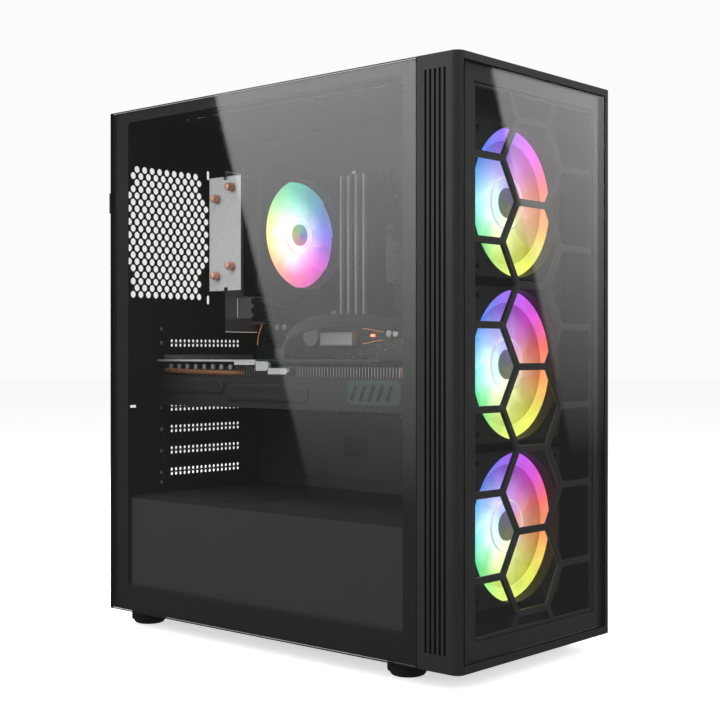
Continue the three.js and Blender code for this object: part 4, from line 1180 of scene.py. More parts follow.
    def blade(self) -> bpy.types.Object:
        """One swept blade: a grid curled round the axis, given a wall and smoothed.

        Returns:
            The blade at the start of the wheel.
        """
        bpy.ops.object.select_all(action="DESELECT")
        bpy.ops.mesh.primitive_grid_add(x_subdivisions=7, y_subdivisions=7, size=1)
        made = bpy.context.active_object
        root, tip = self.hub / 2 - 1.2, self.bore / 2 - self.tip_gap
        spread = math.radians(360 / self.blades * 1.32)
        sweep = math.radians(26)
        front, back = self.recess + 3.2, self.depth - 6.0
        for vertex in made.data.vertices:
            along, across = vertex.co.x + 0.5, vertex.co.y
            radius = root + (tip - root) * along
            turn = sweep * along**1.4 + across * spread * (1 - 0.12 * along)
            pitch = (back - front) * (0.55 - 0.4 * along)
            depth = front + 2.0 + across * pitch + 0.6 * math.sin(math.pi * (across + 0.5))
            vertex.co = Case.at(
                *self.point(radius * math.cos(turn), depth, radius * math.sin(turn))
            )
        Bench.only(made)
        bpy.ops.object.mode_set(mode="EDIT")
        bpy.ops.mesh.select_all(action="SELECT")
        bpy.ops.mesh.normals_make_consistent(inside=False)
        bpy.ops.object.mode_set(mode="OBJECT")
        return Bench.wall(made, 1.1)


# ---------------------------------------------------------------------------- shell
@dataclass
class GlassSide(Part):
    """The glass side panel with its printed edge, steel frame and thumbscrews."""

    body: str = "side_panel"
    print_edges: tuple[float, float, float, float] = (16.0, 20.5, 22.0, 10.0)

    def build(self) -> None:
        """Builds the pane, the print behind its edge and the screws."""
        pane = Bench.reworked("side_glass", 0.6, 2)
        self.mount(pane, "side_glass_pane", SMOKED, "side_glass", "side_glass", smooth=False)
        self.darken_rim(pane, 0)
        front, rear, bottom, top = self.print_edges
        edge = Bench.block((4.02, 39.6, 0.4), (4.2, 397.7, 449.6), 0)
        window = Bench.block(
            (3, BEZEL_BACK_Y + front, bottom), (6, CASE_DEPTH - rear, CASE_HEIGHT - top), 0
        )
        Bench.round_edges(window, lambda middle, way: abs(way.x) > 0.9, 4.0, 6)
        self.mount(Bench.cut(edge, window), "side_glass_print", PRINT, "side_glass", smooth=False)
        self.dress(POWDER, "side_glass_frame")
        for i in (1, 2):
            self.thumbscrew(f"glass_thumbscrew_{i}")

    def thumbscrew(self, node: str) -> None:
        """A knurled thumbscrew with a crossed slot."""
        low, high = (Case.mm(corner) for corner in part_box(node))
        x, z = (low.x + high.x) / 2, (low.z + high.z) / 2
        head = Bench.rod(Axis.Y, (x, high.y - 3.4, z), 4.3, 6.6, 36, 0.5)
        notch = Bench.block((x + 4.1, high.y - 6.2, z - 0.25), (x + 4.7, high.y - 1.0, z + 0.25), 0)
        notches = [
            Bench.turned(Bench.moved(notch, (0, 0, 0)), (x, 0, z), "Y", i * 20) for i in range(18)
        ]
        bpy.data.objects.remove(notch)
        cross = Bench.block((x - 2.6, high.y - 1.2, z - 0.5), (x + 2.6, high.y + 1, z + 0.5), 0)
        upright = Bench.block((x - 0.5, high.y - 1.2, z - 2.6), (x + 0.5, high.y + 1, z + 2.6), 0)
        Bench.cut(head, Bench.join(*notches), cross, upright)
        stem = Bench.rod(Axis.Y, (x, low.y + 0.6, z), 1.4, 1.2, 12)
        self.mount(Bench.join(head, stem), node + "_knurled", GLOSS, "black_steel", node)


@dataclass
class Front(Part):
    """Bezel, honeycomb grille, front glass, sockets and buttons."""

    body: str = "bezel"
    # Dark sheets inside the bezel behind its side slots: painted shade, put there so the slots read
    # dark.
    shade_sheets_x: tuple[float, float] = (2.9, 201.3)
    shade_sheet_y: tuple[float, float] = (10.2, 33.6)
    shade_sheet_z: tuple[float, float] = (10.0, 441.0)
    shade_sheet_thickness: float = 0.8

    def build(self) -> None:
        """Builds the front and the pieces set in it."""
        bezel = Bench.reworked("front_bezel", 0.35, 2)
        # The dark sheets behind the slots are painted shade, joined to the bezel.
        (y0, y1), (z0, z1) = self.shade_sheet_y, self.shade_sheet_z
        shade_sheets = [
            Bench.block((x, y0, z0), (x + self.shade_sheet_thickness, y1, z1), 0.1, 1)
            for x in self.shade_sheets_x
        ]
        bezel = Bench.join(bezel, *shade_sheets)
        self.mount(bezel, "front_bezel_shell", SATIN, "black_plastic", "front_bezel")
        grille = Bench.reworked("front_grille", 0.7, 2)
        self.mount(grille, "honeycomb_grille", SATIN, "black_plastic", "front_grille")
        pane = Bench.reworked("front_glass", 0.5, 2)
        self.mount(pane, "front_glass_pane", SMOKED, "front_glass", "front_glass", smooth=False)
        self.darken_rim(pane, 1)
        self.dress(MATTE, "front_io_board")
        self.button("power_button", "power_key", 7.0)
        self.button("reset_button", "reset_key", 3.5)

    def button(self, node: str, body: str, radius: float) -> None:
        """A round push button with a dished top and a rim."""
        low, high = (Case.mm(corner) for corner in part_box(node))
        x, y = (low.x + high.x) / 2, (low.y + high.y) / 2
        cap = Bench.rod(Axis.Z, (x, y, high.z - 2.5), radius, 5.0, 48)
        Bench.steps(
            cap, lambda middle, way: way.z > 0.9, [(0.4, 0.0), (0.5, -0.35), (0.8, -0.15)]
        )
        collar = Bench.rod(Axis.Z, (x, y, low.z + 0.6), radius + 1.3, 1.1, 48, 0.2)
        self.mount(
            Bench.join(cap, collar), node + "_cap", GLOSS, "black_plastic", node, body=body
        )


@dataclass
class RearPanel(Part):
    """The rear sheet: round perforation, card slots, socket window and pressed details."""

    hole_pitch: tuple[float, float] = (9.0, 6.1)
    hole_radius: float = 3.25
    vent_start: tuple[float, float] = (17.2, 286.5)
    vent_rows: int = 20
    vent_columns: int = 12
    inset_rows: int = 5
    screw_x: tuple[float, float] = (17.7, 118.8)
    screw_z: tuple[float, float] = (283.9, 405.4)
    slot_z0: float = 241.7
    slot_pitch: float = 20.32

    def build(self) -> None:
        """Builds the sheet and the covers over the empty card slots."""
        sheet = Bench.block((5.7, 397.0, 1.4), (203.6, 398.0, 446.6), 0)
        windows = [
            Bench.block((141.35, 390, 252.95), (185.8, 402, 411.7), 0),
            Bench.block((33, 390, 7), (177, 402, 87), 0),
        ]
        for number in range(7):
            z = self.slot_z0 - number * self.slot_pitch
            windows.append(Bench.block((64, 390, z - 7), (168, 402, z + 7), 0))
        Bench.cut(sheet, Bench.join(*windows))
        Bench.cut(sheet, self.perforation(), self.details())
        self.mount(sheet, "rear_sheet", POWDER, "black_steel", "rear_panel", smooth=False)
        self.covers()
        self.rib()

    def perforation(self) -> bpy.types.Object:
        """The staggered round holes of the fan vent, as one cutting tool."""
        across, up = self.hole_pitch
        x, z = self.vent_start
        rows_made = []
        hole = Bench.rod(Axis.Y, (x, 397.5, z), self.hole_radius, 4, 12)
        for row in range(self.vent_rows):
            inset = int(row < self.inset_rows or row > self.vent_rows - self.inset_rows)
            odd = row % 2
            start = Bench.moved(hole, (across * (odd / 2 + inset), 0, row * up))
            holes = self.vent_columns - odd - 2 * inset
            rows_made.append(Bench.array(start, holes, (across, 0, 0)))
        bpy.data.objects.remove(hole)
        return Bench.join(*rows_made)

    def details(self) -> bpy.types.Object:
        """Screw slots at the corners of the vent and the small slots beside the cards."""
        cuts = [
            Bench.block((x - 1.8, 390, z - 4.4), (x + 1.8, 402, z + 4.4), 1.6, 3)
            for x in self.screw_x
            for z in self.screw_z
        ]
        cuts.append(Bench.block((22.3, 390, 181.6), (29.7, 402, 184.0), 0))
        cuts += [
            Bench.block((58.6, 390, z - 1.1), (63.2, 402, z + 1.1), 0)
            for z in (185.0, 173.5, 165.0, 145.0, 134.0)
        ]
        cuts.append(Bench.block((60.6, 390, 193), (61.5, 402, 221), 0))
        return Bench.join(*cuts)

    def covers(self) -> None:
        """Slot covers with two rows of round holes and pin holes between."""
        z = self.slot_z0
        plate = Bench.block((59.6, 395.8, z - 9.1), (177.9, 396.6, z + 9.1), 0.3, 1)
        tab = Bench.block((59.6, 391.8, z - 9.1), (60.5, 396.6, z + 9.1), 0.3, 1)
        tools = []
        for rise, radius, sides, start, count in (
            (2.1, 1.55, 12, 71.6, 17),
            (-2.1, 1.55, 12, 71.6, 17),
            (0.0, 0.5, 6, 74.3, 16),
        ):
            hole = Bench.rod(Axis.Y, (start, 396.2, z + rise), radius, 4, sides)
            tools.append(Bench.array(hole, count, (5.36, 0, 0)))
        cover = Bench.join(Bench.cut(plate, *tools), tab)
        for number in (1, 4, 5, 6, 7):
            self.mount(
                Bench.moved(cover, (0, 0, (1 - number) * self.slot_pitch)),
                f"perforated_cover_{number}",
                POWDER,
                "black_steel",
                f"slot_cover_{number}",
                smooth=False,
            )
        bpy.data.objects.remove(cover)

    def rib(self) -> None:
        """The folded edge that the covers screw to, with its bright screws."""
        edge = Bench.block((57.4, 391.5, 108.0), (59.0, 396.6, 258.0), 0.4, 2)
        self.mount(edge, "cover_rail", POWDER, "black_steel")
        screw = Bench.rod(Axis.X, (56.9, 394.0, 241.7), 1.7, 1.0, 20, 0.3)
        places = [(0, 0, 13.0)] + [(0, 0, -i * self.slot_pitch) for i in (0, 3, 4, 5, 6)]
        screws = Bench.repeat(screw, places + [(0, 0, -131.0)])
        self.mount(screws, "cover_screws", NICKEL, "bright_steel")


@dataclass
class Shell(Part):
    """Top panel with its mesh, right side, bottom, feet and the front wall."""

    def build(self) -> None:
        """Dresses the steel that stays as packed and builds the finer pieces."""
        top = Bench.reworked("top_panel", 0.3, 1)
        self.mount(top, "top_sheet", POWDER, "black_steel", "top_panel")
        self.top_mesh()
        self.dust_filter()
        self.dress(POWDER, "right_side_panel", "bottom_pan", "front_wall")
        self.feet()

    def top_mesh(self) -> None:
        """The perforated sheet that closes the top's openings."""
        bpy.ops.object.select_all(action="DESELECT")
        bpy.ops.mesh.primitive_grid_add(
            x_subdivisions=44, y_subdivisions=88, size=1, location=Case.at(121, 245, 446.9)
        )
        sheet = bpy.context.active_object
        sheet.scale = Vector((126, 250, 1)) * MM
        Bench.settle(sheet)
        bpy.ops.object.mode_set(mode="EDIT")
        bpy.ops.mesh.select_mode(type="FACE")
        bpy.ops.mesh.select_all(action="SELECT")
        bpy.ops.mesh.inset(thickness=0.62 * MM, use_individual=True)
        bpy.ops.mesh.delete(type="FACE")
        bpy.ops.object.mode_set(mode="OBJECT")
        self.mount(
            Bench.wall(sheet, 0.4), "top_perforation", POWDER, "black_steel", smooth=False
        )

    def dust_filter(self) -> None:
        """The magnetic filter: a flat frame with a fine mesh of crossed threads."""
        rim = Bench.block((50.1, 112.1, 448.8), (191.9, 377.9, 449.9), 0)
        Bench.round_edges(rim, lambda middle, way: abs(way.z) > 0.9, 5.0, 6)
        window = Bench.block((58, 120, 440), (184, 370, 455), 0)
        Bench.round_edges(window, lambda middle, way: abs(way.z) > 0.9, 3.0, 4)
        Bench.bevel(Bench.cut(rim, window), 0.3, 1)
        thread = Bench.block((57.5, 121.0, 449.2), (184.5, 121.7, 449.45), 0)
        across = Bench.array(thread, 99, (0, 2.52, 0))
        other = Bench.block((59.0, 119.5, 449.2), (59.7, 370.5, 449.45), 0)
        along = Bench.array(other, 50, (2.52, 0, 0))
        self.mount(
            Bench.join(rim, across, along), "filter_mesh_frame", MESH, "filter_mesh",
            "top_dust_filter", body="dust_filter", smooth=False,
        )

    def feet(self) -> None:
        """Round stepped feet, each with a groove and a soft sole."""
        for node in ("foot_front_left", "foot_front_right", "foot_rear_left", "foot_rear_right"):
            low, high = (Case.mm(corner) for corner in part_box(node))
            x, y = (low.x + high.x) / 2, (low.y + high.y) / 2
            foot = Bench.rod(Axis.Z, (x, y, -5.0), 16.0, 9.2, 64)
            Bench.steps(
                foot,
                lambda middle, way: way.z < -0.9,
                [
                    (0.7, 0.5),
                    (1.2, 0.0),
                    (0.1, 1.6),
                    (1.2, 1.4),
                    (1.4, 0.6),
                    (3.5, 0.3),
                    (1.0, -0.8),
                ],
            )
            Bench.bevel(foot, 0.4, 2)
            self.mount(foot, node + "_turned", RUBBER, "rubber", node)


# ---------------------------------------------------------------------------- inside
@dataclass
class Inside(Part):
    """Tray, power supply with its shroud, and the switch and inlet at the back."""

    def build(self) -> None:
        """Builds the steel that carries the board and the power supply."""
        self.tray()
        self.shroud()
        self.power_supply()

    def tray(self) -> None:
        """The tray with pressed panels, a square opening and rubber grommets."""
        tray = Bench.reworked("motherboard_tray", 0.0)
        Bench.cut(
            tray,
            Bench.join(
                Bench.block((185, 251, 133), (195, 283, 153), 2.0, 3),
                Bench.block((185, 70, 122), (195, 110, 198), 3.0, 3),
                Bench.block((185, 70, 230), (195, 110, 300), 3.0, 3),
            ),
        )
        self.mount(
            tray, "tray_sheet", TRAY, "black_steel", "motherboard_tray", smooth=False
        )
        panels = []
        for low, high in (
            ((189.2, 210, 110), (190, 300, 160)),
            ((189.2, 305, 110), (190, 385, 160)),
            ((189.2, 60, 110), (190, 118, 205)),
            ((189.2, 60, 220), (190, 118, 430)),
        ):
            panel = Bench.block(low, high, 0)
            Bench.round_edges(panel, lambda middle, way: abs(way.x) > 0.9, 8.0, 6)
            Bench.steps(
                panel, lambda middle, way: way.x < -0.9, [(2.0, 0.6), (3.0, 0.0), (1.5, -0.7)]
            )
            panels.append(panel)
        Bench.cut(
            panels[0], Bench.block((180, 251, 133), (195, 283, 153), 2.0, 3)
        )
        self.mount(Bench.join(*panels), "tray_pressings", TRAY, "black_steel")
        rims = []
        for top in (410, 305, 200):
            rim = Bench.block((187.6, 155.5, top - 82.5), (189.8, 182.5, top + 2.5), 0)
            Bench.round_edges(rim, lambda middle, way: abs(way.x) > 0.9, 8.0, 6)
            hole = Bench.block((180, 160.5, top - 77.5), (195, 177.5, top - 2.5), 0)
            Bench.round_edges(hole, lambda middle, way: abs(way.x) > 0.9, 5.0, 6)
            rims.append(Bench.bevel(Bench.cut(rim, hole), 0.8, 2))
        self.mount(Bench.join(*rims), "cable_grommets", RUBBER, "rubber")

    def shroud(self) -> None:
        """The folded cover over the power supply, vented on top, with a pale strip on its top edge
        that is a painted highlight.
        """
        shroud = Bench.reworked("psu_shroud", 0.0)
        slot = Bench.block((40, 262, 90), (140, 265, 110), 0)
        Bench.cut(shroud, Bench.array(slot, 12, (0, 9, 0)))
        Bench.bevel(shroud, 0.45, 3)
        self.mount(shroud, "shroud_sheet", TRAY, "black_steel", "psu_shroud")
        # A pale steel strip on the shroud's top edge: a painted highlight, not a real fold.
        low, high = (Case.mm(corner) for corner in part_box("psu_shroud"))
        start = (low.x + 0.02, low.y + 1, high.z - 0.5)
        end = (low.x + 0.6, high.y - 1, high.z - 0.02)
        edge_highlight = Bench.block(start, end, 0.2, 1)
        self.mount(edge_highlight, "shroud_edge_highlight", DULL_STEEL, "black_steel")

    def power_supply(self) -> None:
        """Dresses the power supply box and builds the rocker and inlet."""
        self.dress(POWDER, "psu_case")
        self.dress(MATTE, "psu_fan_rotor")
        self.mount(
            Bench.reworked("psu_inlet", 0.4, 2), "mains_socket", GLOSS, "black_plastic", "psu_inlet"
        )
        self.mount(
            Bench.reworked("psu_switch", 0.5, 3),
            "rocker_key",
            GLOSS,
            "black_plastic",
            "psu_switch",
            body="psu_rocker",
        )


@dataclass
class Cooler(Part):
    """Tower cooler: a stack of notched fins on two copper pipes."""

    fins: int = 30
    low: Point = (60.2, 286.4, 288.2)
    high: Point = (149.8, 329.6, 390.8)

    def build(self) -> None:
        """Builds the fin stack, the outer plate and the pipe tips."""
        pitch = (self.high[0] - self.low[0] - 0.6) / (self.fins - 1)
        fin = self.fin(self.low[0], 0.5)
        stack = Bench.array(fin, self.fins, (pitch, 0, 0))
        self.mount(stack, "cooler_fin_stack", BRUSHED, "aluminium", "cooler_fins", smooth=False)
        plate = self.fin(self.low[0] - 1.0, 0.8)
        self.mount(Bench.bevel(plate, 0.2, 1), "cooler_top_plate", PLATE, "aluminium")
        self.dress(COPPER, "cooler_base")
        tips = []
        for y, z in ((299.5, 310), (299.5, 380.5), (319, 301.7), (319, 371.3)):
            collar = Bench.rod(Axis.X, (59.6, y, z), 4.3, 1.6, 32, 0.4)
            tip = Bench.rod(Axis.X, (55.6, y, z), 3.7, 8.0, 32, 2.4)
            tips += [collar, tip]
        self.mount(Bench.join(*tips), "heat_pipe_tips", COPPER, "copper")

    def fin(self, x: float, thickness: float) -> bpy.types.Object:
        """One fin with a notch in the middle of its top and foot."""
        (_, y0, z0), (_, y1, z1) = self.low, self.high
        made = Bench.block((x, y0, z0), (x + thickness, y1, z1), 0)
        middle = (y0 + y1) / 2
        tools = [
            Bench.block((x - 2, middle - 2.0, z1 - 3), (x + 3, middle + 2.4, z1 + 2), 0),
            Bench.block((x - 2, middle - 2.4, z0 - 2), (x + 3, middle + 2.0, z0 + 3), 0),
        ]
        return Bench.cut(made, Bench.join(*tools))


@dataclass
class Memory(Part):
    """Four memory modules: ribbed heat spreaders with light bars."""

    def build(self) -> None:
        """Builds one module and repeats it."""
        for i in range(MEMORY_COUNT):
            y = MEMORY_FIRST_Y + i * MEMORY_PITCH
            body = Bench.block((144.0, y - 3.3, 262.2), (175.8, y + 3.3, 395.2), 0)
            Bench.steps(
                body,
                lambda middle, way: abs(way.y) > 0.9,
                [(2.5, 0.0), (0.8, -0.7), (6.0, 0.0), (0.6, 0.5)],
            )
            Bench.bevel(body, 0.3, 1)
            finger = Bench.block((175.6, y - 0.55, 263), (178.8, y + 0.55, 394), 0.1, 1)
            self.mount(
                Bench.join(body, finger), f"heat_spreader_{i + 1}", GLOSS, "memory",
                f"memory_module_{i + 1}",
            )
            bar = Bench.block((142.2, y - 0.4, 264), (144.4, y + 0.4, 393.5), 0.25, 2)
            self.mount(bar, f"memory_light_bar_{i + 1}", BAR_LIGHT, "memory")


@dataclass
class Board(Part):
    """The main board with sockets, chips, capacitors, heatsinks and ports."""

    face_x: float = 181.9

    def build(self) -> None:
        """Builds the board and what is soldered to it."""
        plate = Bench.block((181.95, 192.1, 167.1), (183.45, 393.9, 412.9), 0)
        Bench.round_edges(plate, lambda middle, way: abs(way.x) > 0.9, 2.0, 3)
        self.mount(plate, "board_plate", BOARD, "board", "motherboard")
        self.sockets()
        self.heatsinks()
        self.small_parts()
        self.dress(NICKEL, "io_ports", "io_shield", "processor")

    def on(
        self, height: float, y0: float, y1: float, z0: float, z1: float, bevel: float = 0.4
    ) -> bpy.types.Object:
        """A block standing on the board's face.

        Args:
            height: How far it stands out.
            y0: Its front edge.
            y1: Its rear edge.
            z0: Its lower edge.
            z1: Its upper edge.
            bevel: Rounding of its edges.

        Returns:
            The new block.
        """
        return Bench.block((self.face_x - height, y0, z0), (self.face_x, y1, z1), bevel)

    def sockets(self) -> None:
        """Memory slots, card slots, the power socket and the headers."""
        rows = [MEMORY_FIRST_Y + MEMORY_PITCH * i for i in range(MEMORY_COUNT)]
        parts = [self.on(5.4, y - 3.2, y + 3.2, 258, 400) for y in rows]
        grooves = [Bench.block((170, y - 0.9, 261), (180, y + 0.9, 396), 0) for y in rows]
        for part, groove in zip(parts, grooves):
            Bench.cut(part, groove)
        card = self.on(10.8, 247, 341, 220.6, 227.8)
        Bench.cut(card, Bench.block((160, 249.5, 223.0), (180, 338.5, 226.8), 0))
        parts.append(card)
        short_slot = self.on(10.8, 345, 372, 240.8, 248)
        parts.append(Bench.cut(short_slot, Bench.block((160, 347, 243.4), (180, 370, 245.4), 0)))
        power = self.on(10.8, 194.2, 204.8, 297.2, 348.8)
        pin = Bench.block((160, 196.0, 299), (178, 199.0, 302), 0)
        pins = Bench.array(pin, 12, (0, 0, 4.1))
        Bench.cut(power, Bench.join(pins, Bench.moved(pins, (0, 4.1, 0))))
        parts.append(power)
        for y in (210, 235, 262, 290, 318, 344, 368):
            header = self.on(6.5, y, y + 13, 172.5, 178.5, 0.3)
            pocket = Bench.block((170, y + 1, 173.6), (180, y + 12, 177.4), 0)
            parts.append(Bench.cut(header, pocket))
        self.mount(Bench.join(*parts), "board_sockets", MATTE, "black_plastic")

    def heatsinks(self) -> None:
        """Finned coolers on the power stages, the chipset and the drive."""
        vrm = Bench.block((152.2, 340.3, 263.3), (181.5, 371.8, 391.5), 0)
        slot = Bench.block((150, 338, 268), (176, 374, 271.5), 0)
        Bench.cut(vrm, Bench.array(slot, 14, (0, 0, 8.8)))
        Bench.bevel(vrm, 0.4, 1)
        self.mount(vrm, "power_stage_heatsink", GREY_METAL, "aluminium", "vrm_heatsink")
        chipset = self.on(6.0, 222, 262, 180, 216, 0.8)
        Bench.steps(
            chipset, lambda middle, way: way.x < -0.9, [(3, 0), (1, -0.8), (6, 0), (1, 0.8)]
        )
        self.mount(chipset, "chipset_heatsink", GREY_METAL, "aluminium")
        drive = Bench.block((174.1, 258.2, 239.2), (181.5, 299.8, 251.8), 0.5)
        Bench.steps(drive, lambda middle, way: way.x < -0.9, [(1.2, 0), (0.4, -0.4)])
        self.mount(drive, "drive_heat_spreader", PLATE, "aluminium", "m2_drive")

    def small_parts(self) -> None:
        """Capacitors, chokes, chips, the battery, contacts and the red indicator."""
        can = Bench.rod(Axis.X, (177.4, 0, 0), 3.4, 9.0, 24, 0.6)
        spots = [
            (346.4, 257.8), (356.1, 257.8), (349.2, 229.2), (330, 405), (338, 405), (322, 405),
            (300, 262), (290, 262), (212, 250), (204, 250), (280, 270), (270, 270), (255, 400),
        ]
        cans = Bench.repeat(can, [(0, y, z) for y, z in spots])
        self.mount(cans, "capacitor_cans", NICKEL, "aluminium")
        cap = Bench.rod(Axis.X, (172.75, 0, 0), 3.0, 0.5, 24, 0.15)
        caps = Bench.repeat(cap, [(0, y, z) for y, z in spots])
        self.mount(caps, "capacitor_caps", WHITE_CAP, "aluminium")
        choke = Bench.block((175.5, 0, 0), (181.8, 7, 7), 0.8)
        chokes = Bench.repeat(choke, [(0, 331, 280 + 11 * i) for i in range(10)])
        self.mount(chokes, "power_chokes", GREY_METAL, "black_plastic")
        chips = [
            self.on(1.2, y, y + w, z, z + h, 0.15)
            for y, z, w, h in (
                (270, 190, 14, 14), (300, 205, 9, 9), (350, 200, 12, 12), (320, 190, 7, 7),
                (205, 215, 8, 8), (375, 215, 8, 12), (275, 215, 18, 6), (240, 405, 10, 5),
                (200, 380, 6, 12), (196, 240, 6, 9), (310, 255, 8, 8), (360, 240, 6, 8),
                (330, 232, 10, 6), (385, 190, 6, 10), (212, 190, 6, 6), (290, 180, 9, 5),
            )
        ]
        self.mount(Bench.join(*chips), "board_chips", CHIP, "board")
        pad = Bench.block((181.2, 0, 0), (181.9, 1.6, 0.9), 0.1, 1)
        pads = []
        for i in range(150):
            y = 196 + (i * 37.7) % 190
            z = 170 + (i * 61.3) % 238
            if 210 < y < 250 and z > 255:
                continue
            pads.append((0, y, z))
        self.mount(Bench.repeat(pad, pads), "surface_parts", NICKEL, "board", smooth=False)
        battery = Bench.rod(Axis.X, (179.9, 316, 248.7), 10.0, 3.6, 48, 0.5)
        self.mount(battery, "board_battery", NICKEL, "bright_steel")
        led = self.on(1.6, 236.5, 240.5, 247.5, 249.5, 0.3)
        self.mount(led, "board_indicator", RED_LED, "board")
        x = 181.7
        # The traces glow orange: painted highlight on the copper.
        trace = [
            Bench.tube([(x, 382, 273), (x, 382.5, 262), (x, 393, 256), (x, 393, 240)], 0.5, 3),
            Bench.tube([(x, 226, 244), (x, 238, 244), (x, 242, 241), (x, 252, 241)], 0.35, 3),
            Bench.tube([(x, 226, 252), (x, 236, 252), (x, 240, 255), (x, 252, 255)], 0.35, 3),
        ]
        self.mount(Bench.join(*trace), "copper_traces", PAINTED_TRACE_HIGHLIGHT, "copper")
        frame_edge = self.on(3.4, 283, 335.5, 313, 366, 0.6)
        Bench.cut(frame_edge, Bench.block((170, 289.5, 319.5), (185, 329, 359.5), 1.0, 2))
        self.mount(frame_edge, "processor_frame", NICKEL, "bright_steel")


@dataclass
class GraphicsCard(Part):
    """The graphics card: board, finned heatsink, dark shroud with two fans, and its plate."""

    def build(self) -> None:
        """Builds the card's layers from the top down."""
        plate = Bench.reworked("gpu_board", 0.15, 1)
        self.mount(plate, "card_board", BOARD, "board", "gpu_board")
        self.back_plate()
        self.fin_block()
        self.cover()
        self.dress(NICKEL, "gpu_bracket")
        self.dress(MATTE, "gpu_fan_1_rotor", "gpu_fan_2_rotor")

    def back_plate(self) -> None:
        """A thin bright rail on the card's outer edge and angular pieces at its front end."""
        rail = Bench.block((52.6, 290, 224.4), (55.2, 395, 226.2), 0.3)
        parts = [rail]
        for y0, y1, z0, z1, x0 in (
            (262, 290, 221.4, 226.2, 52.4),
            (246, 262, 216.5, 224.8, 51.8),
            (222, 246, 213.6, 219.0, 51.2),
        ):
            piece = Bench.block((x0, y0, z0), (x0 + 3.4, y1, z1), 0)
            Bench.round_edges(
                piece, lambda middle, way: abs(way.x) > 0.9 and middle.y < (y0 + y1) / 2, 2.4, 1
            )
            parts.append(Bench.bevel(piece, 0.25, 1))
        self.mount(Bench.join(*parts), "card_bright_edge", PLATE, "aluminium")

    def fin_block(self) -> None:
        """Upright fins across the card with copper pipes through them."""
        fin = Bench.block((58.2, 103.6, 198.2), (163.8, 104.2, 220.3), 0)
        stack = Bench.array(fin, 87, (0, 3.25, 0))
        spine = Bench.block((70, 103.8, 218.8), (160, 383.2, 220.4), 0.2, 1)
        self.mount(
            Bench.join(stack, spine), "card_fin_block", BRUSHED, "aluminium", "gpu_heatsink",
            smooth=False,
        )
        pipe = Bench.tube(
            [
                (60, 390, 216),
                (57, 388, 216),
                (56.4, 380, 216),
                (56.4, 360, 215),
                (56.4, 300, 214),
                (57, 290, 214),
                (62, 284, 214),
            ],
            2.6,
            5,
        )
        self.mount(pipe, "card_heat_pipe", DULL_COPPER, "copper")
        parts = Bench.block((55.0, 0, 217.5), (57.6, 4, 222.0), 0.4)
        row = Bench.repeat(parts, [(0, 296 + 11.5 * i, 0) for i in range(8)])
        self.mount(row, "card_edge_parts", DULL_STEEL, "aluminium")

    def cover(self) -> None:
        """The shroud with angular cuts, and the end block with slanted slots."""
        shroud = Bench.reworked("gpu_shroud", 0.5, 2)
        self.mount(shroud, "card_shroud", GREY_METAL, "black_plastic", "gpu_shroud")
        facets = []
        for y0, y1, z0, z1 in ((300, 386, 196, 209), (196, 296, 190, 205), (94, 152, 189, 210)):
            facet = Bench.block((49.0, y0, z0), (50.4, y1, z1), 0)
            Bench.round_edges(facet, lambda middle, way: abs(way.x) > 0.9, 4.0, 1)
            Bench.steps(facet, lambda middle, way: way.x < -0.9, [(1.4, 0.6), (2.0, -0.3)])
            facets.append(facet)
        slot = Bench.block((40, 104, 192), (60, 108, 206), 0)
        Bench.turned(slot, (50, 106, 199), "X", 24)
        Bench.cut(facets[2], Bench.array(slot, 5, (0, 9.5, 0)))
        self.mount(Bench.join(*facets[:2]), "card_side_facets", GREY_METAL, "black_plastic")
        # The end block glows green: painted reflection of the fans' light.
        self.mount(facets[2], "card_end_facet", GREEN_SHEEN, "black_plastic")


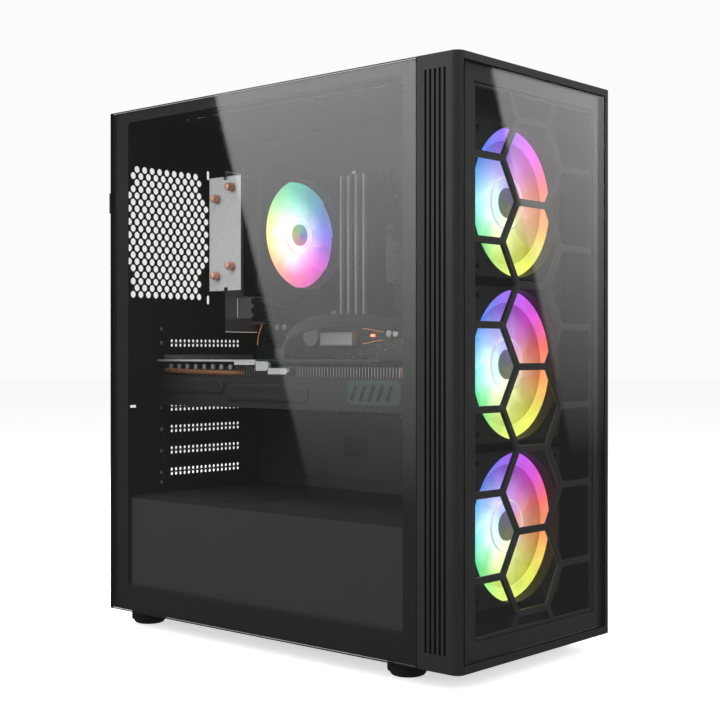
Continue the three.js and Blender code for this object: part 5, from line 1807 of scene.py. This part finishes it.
@dataclass
class Cables(Part):
    """Sleeved wires to the board and to the graphics card."""

    wires: int = 6

    def build(self) -> None:
        """Lays both bundles, wire by wire, along the routes of their solids."""
        self.card_wires()
        self.board_wires()

    def card_wires(self) -> None:
        """Wires that rise from the card's end and arch back to the tray."""
        routes = []
        for i in range(self.wires):
            s = i / (self.wires - 1) - 0.5
            routes.append(
                Bench.tube(
                    [
                        (60 + 8 * s, 236 + 2 * s, 228),
                        (60 + 8 * s, 238 + 5 * s, 240 + 5 * s),
                        (72 + 6 * s, 232 + 8 * s, 258 + 8 * s),
                        (110, 205 + 8 * s, 262 + 10 * s),
                        (150, 180 + 6 * s, 258 + 10 * s),
                        (180, 168 + 6 * s, 250 + 10 * s),
                        (194, 168 + 6 * s, 246 + 8 * s),
                    ],
                    1.5,
                    4,
                )
            )
        plug = Bench.block((54, 229, 226.6), (67, 241, 236), 0.8)
        self.mount(
            Bench.join(*routes, plug), "card_power_wires", SLEEVE, "cable", "gpu_power_cable"
        )

    def board_wires(self) -> None:
        """Wires that fan out of the board's power socket and bend into the tray."""
        routes = []
        for i in range(12):
            s = i / 11 - 0.5
            routes.append(
                Bench.tube(
                    [
                        (170.0, 199.5, 323 + 46 * s),
                        (158.0, 199.5, 322 + 44 * s),
                        (149.0, 196.0, 318 + 40 * s),
                        (148.0, 184.0, 312 + 34 * s),
                        (160.0, 172.0, 306 + 30 * s),
                        (180.0, 168.0, 304 + 28 * s),
                        (197.0, 168.0, 304 + 28 * s),
                    ],
                    1.5,
                    4,
                )
            )
        plug = Bench.block((160.0, 195.2, 298.6), (171.0, 204.0, 347.6), 0.6)
        self.mount(
            Bench.join(*routes, plug), "board_power_wires", SLEEVE, "cable", "atx_power_cable"
        )


def fans() -> list[Fan]:
    """The four lit fans: three behind the grille and one on the cooler."""
    front = [
        Fan(
            frame_node=f"front_fan_{i + 1}_frame",
            rotor_node=f"front_fan_{i + 1}_rotor",
            rotor_body=f"front_rotor_{i + 1}",
            axis_z=z,
        )
        for i, z in enumerate((350.0, 223.0, 96.0))
    ]
    cooler = Fan(
        frame_node="cooler_fan_frame",
        rotor_node="cooler_fan_rotor",
        rotor_body="cooler_rotor",
        axis_x=114.0,
        axis_z=339.5,
        face_y=260.95,
        size=114.0,
        bore=99.4,
        hub=35.0,
        ring=(48.0, 49.0),
        ringed=False,
        recess=7.0,
        tip_gap=1.2,
        hues=HUES_COOLER,
        hub_hues=HUES_COOLER_HUB,
        bright=1.25,
        dim_side=0.7,
    )
    return [*front, cooler]


def main() -> None:
    """Builds the studio and every sub-assembly in order."""
    logging.basicConfig(level=logging.INFO, format="%(name)s %(message)s")
    Studio().build()
    assemblies: list[Part] = [
        GlassSide(),
        Front(),
        RearPanel(),
        Shell(),
        Inside(),
        Cooler(),
        Memory(),
        Board(),
        GraphicsCard(),
        Cables(),
        *fans(),
    ]
    for assembly in assemblies:
        assembly.build()
        LOG.info("%s: %s", type(assembly).__name__, ", ".join(assembly.made))


if __name__ == "__main__":
    main()
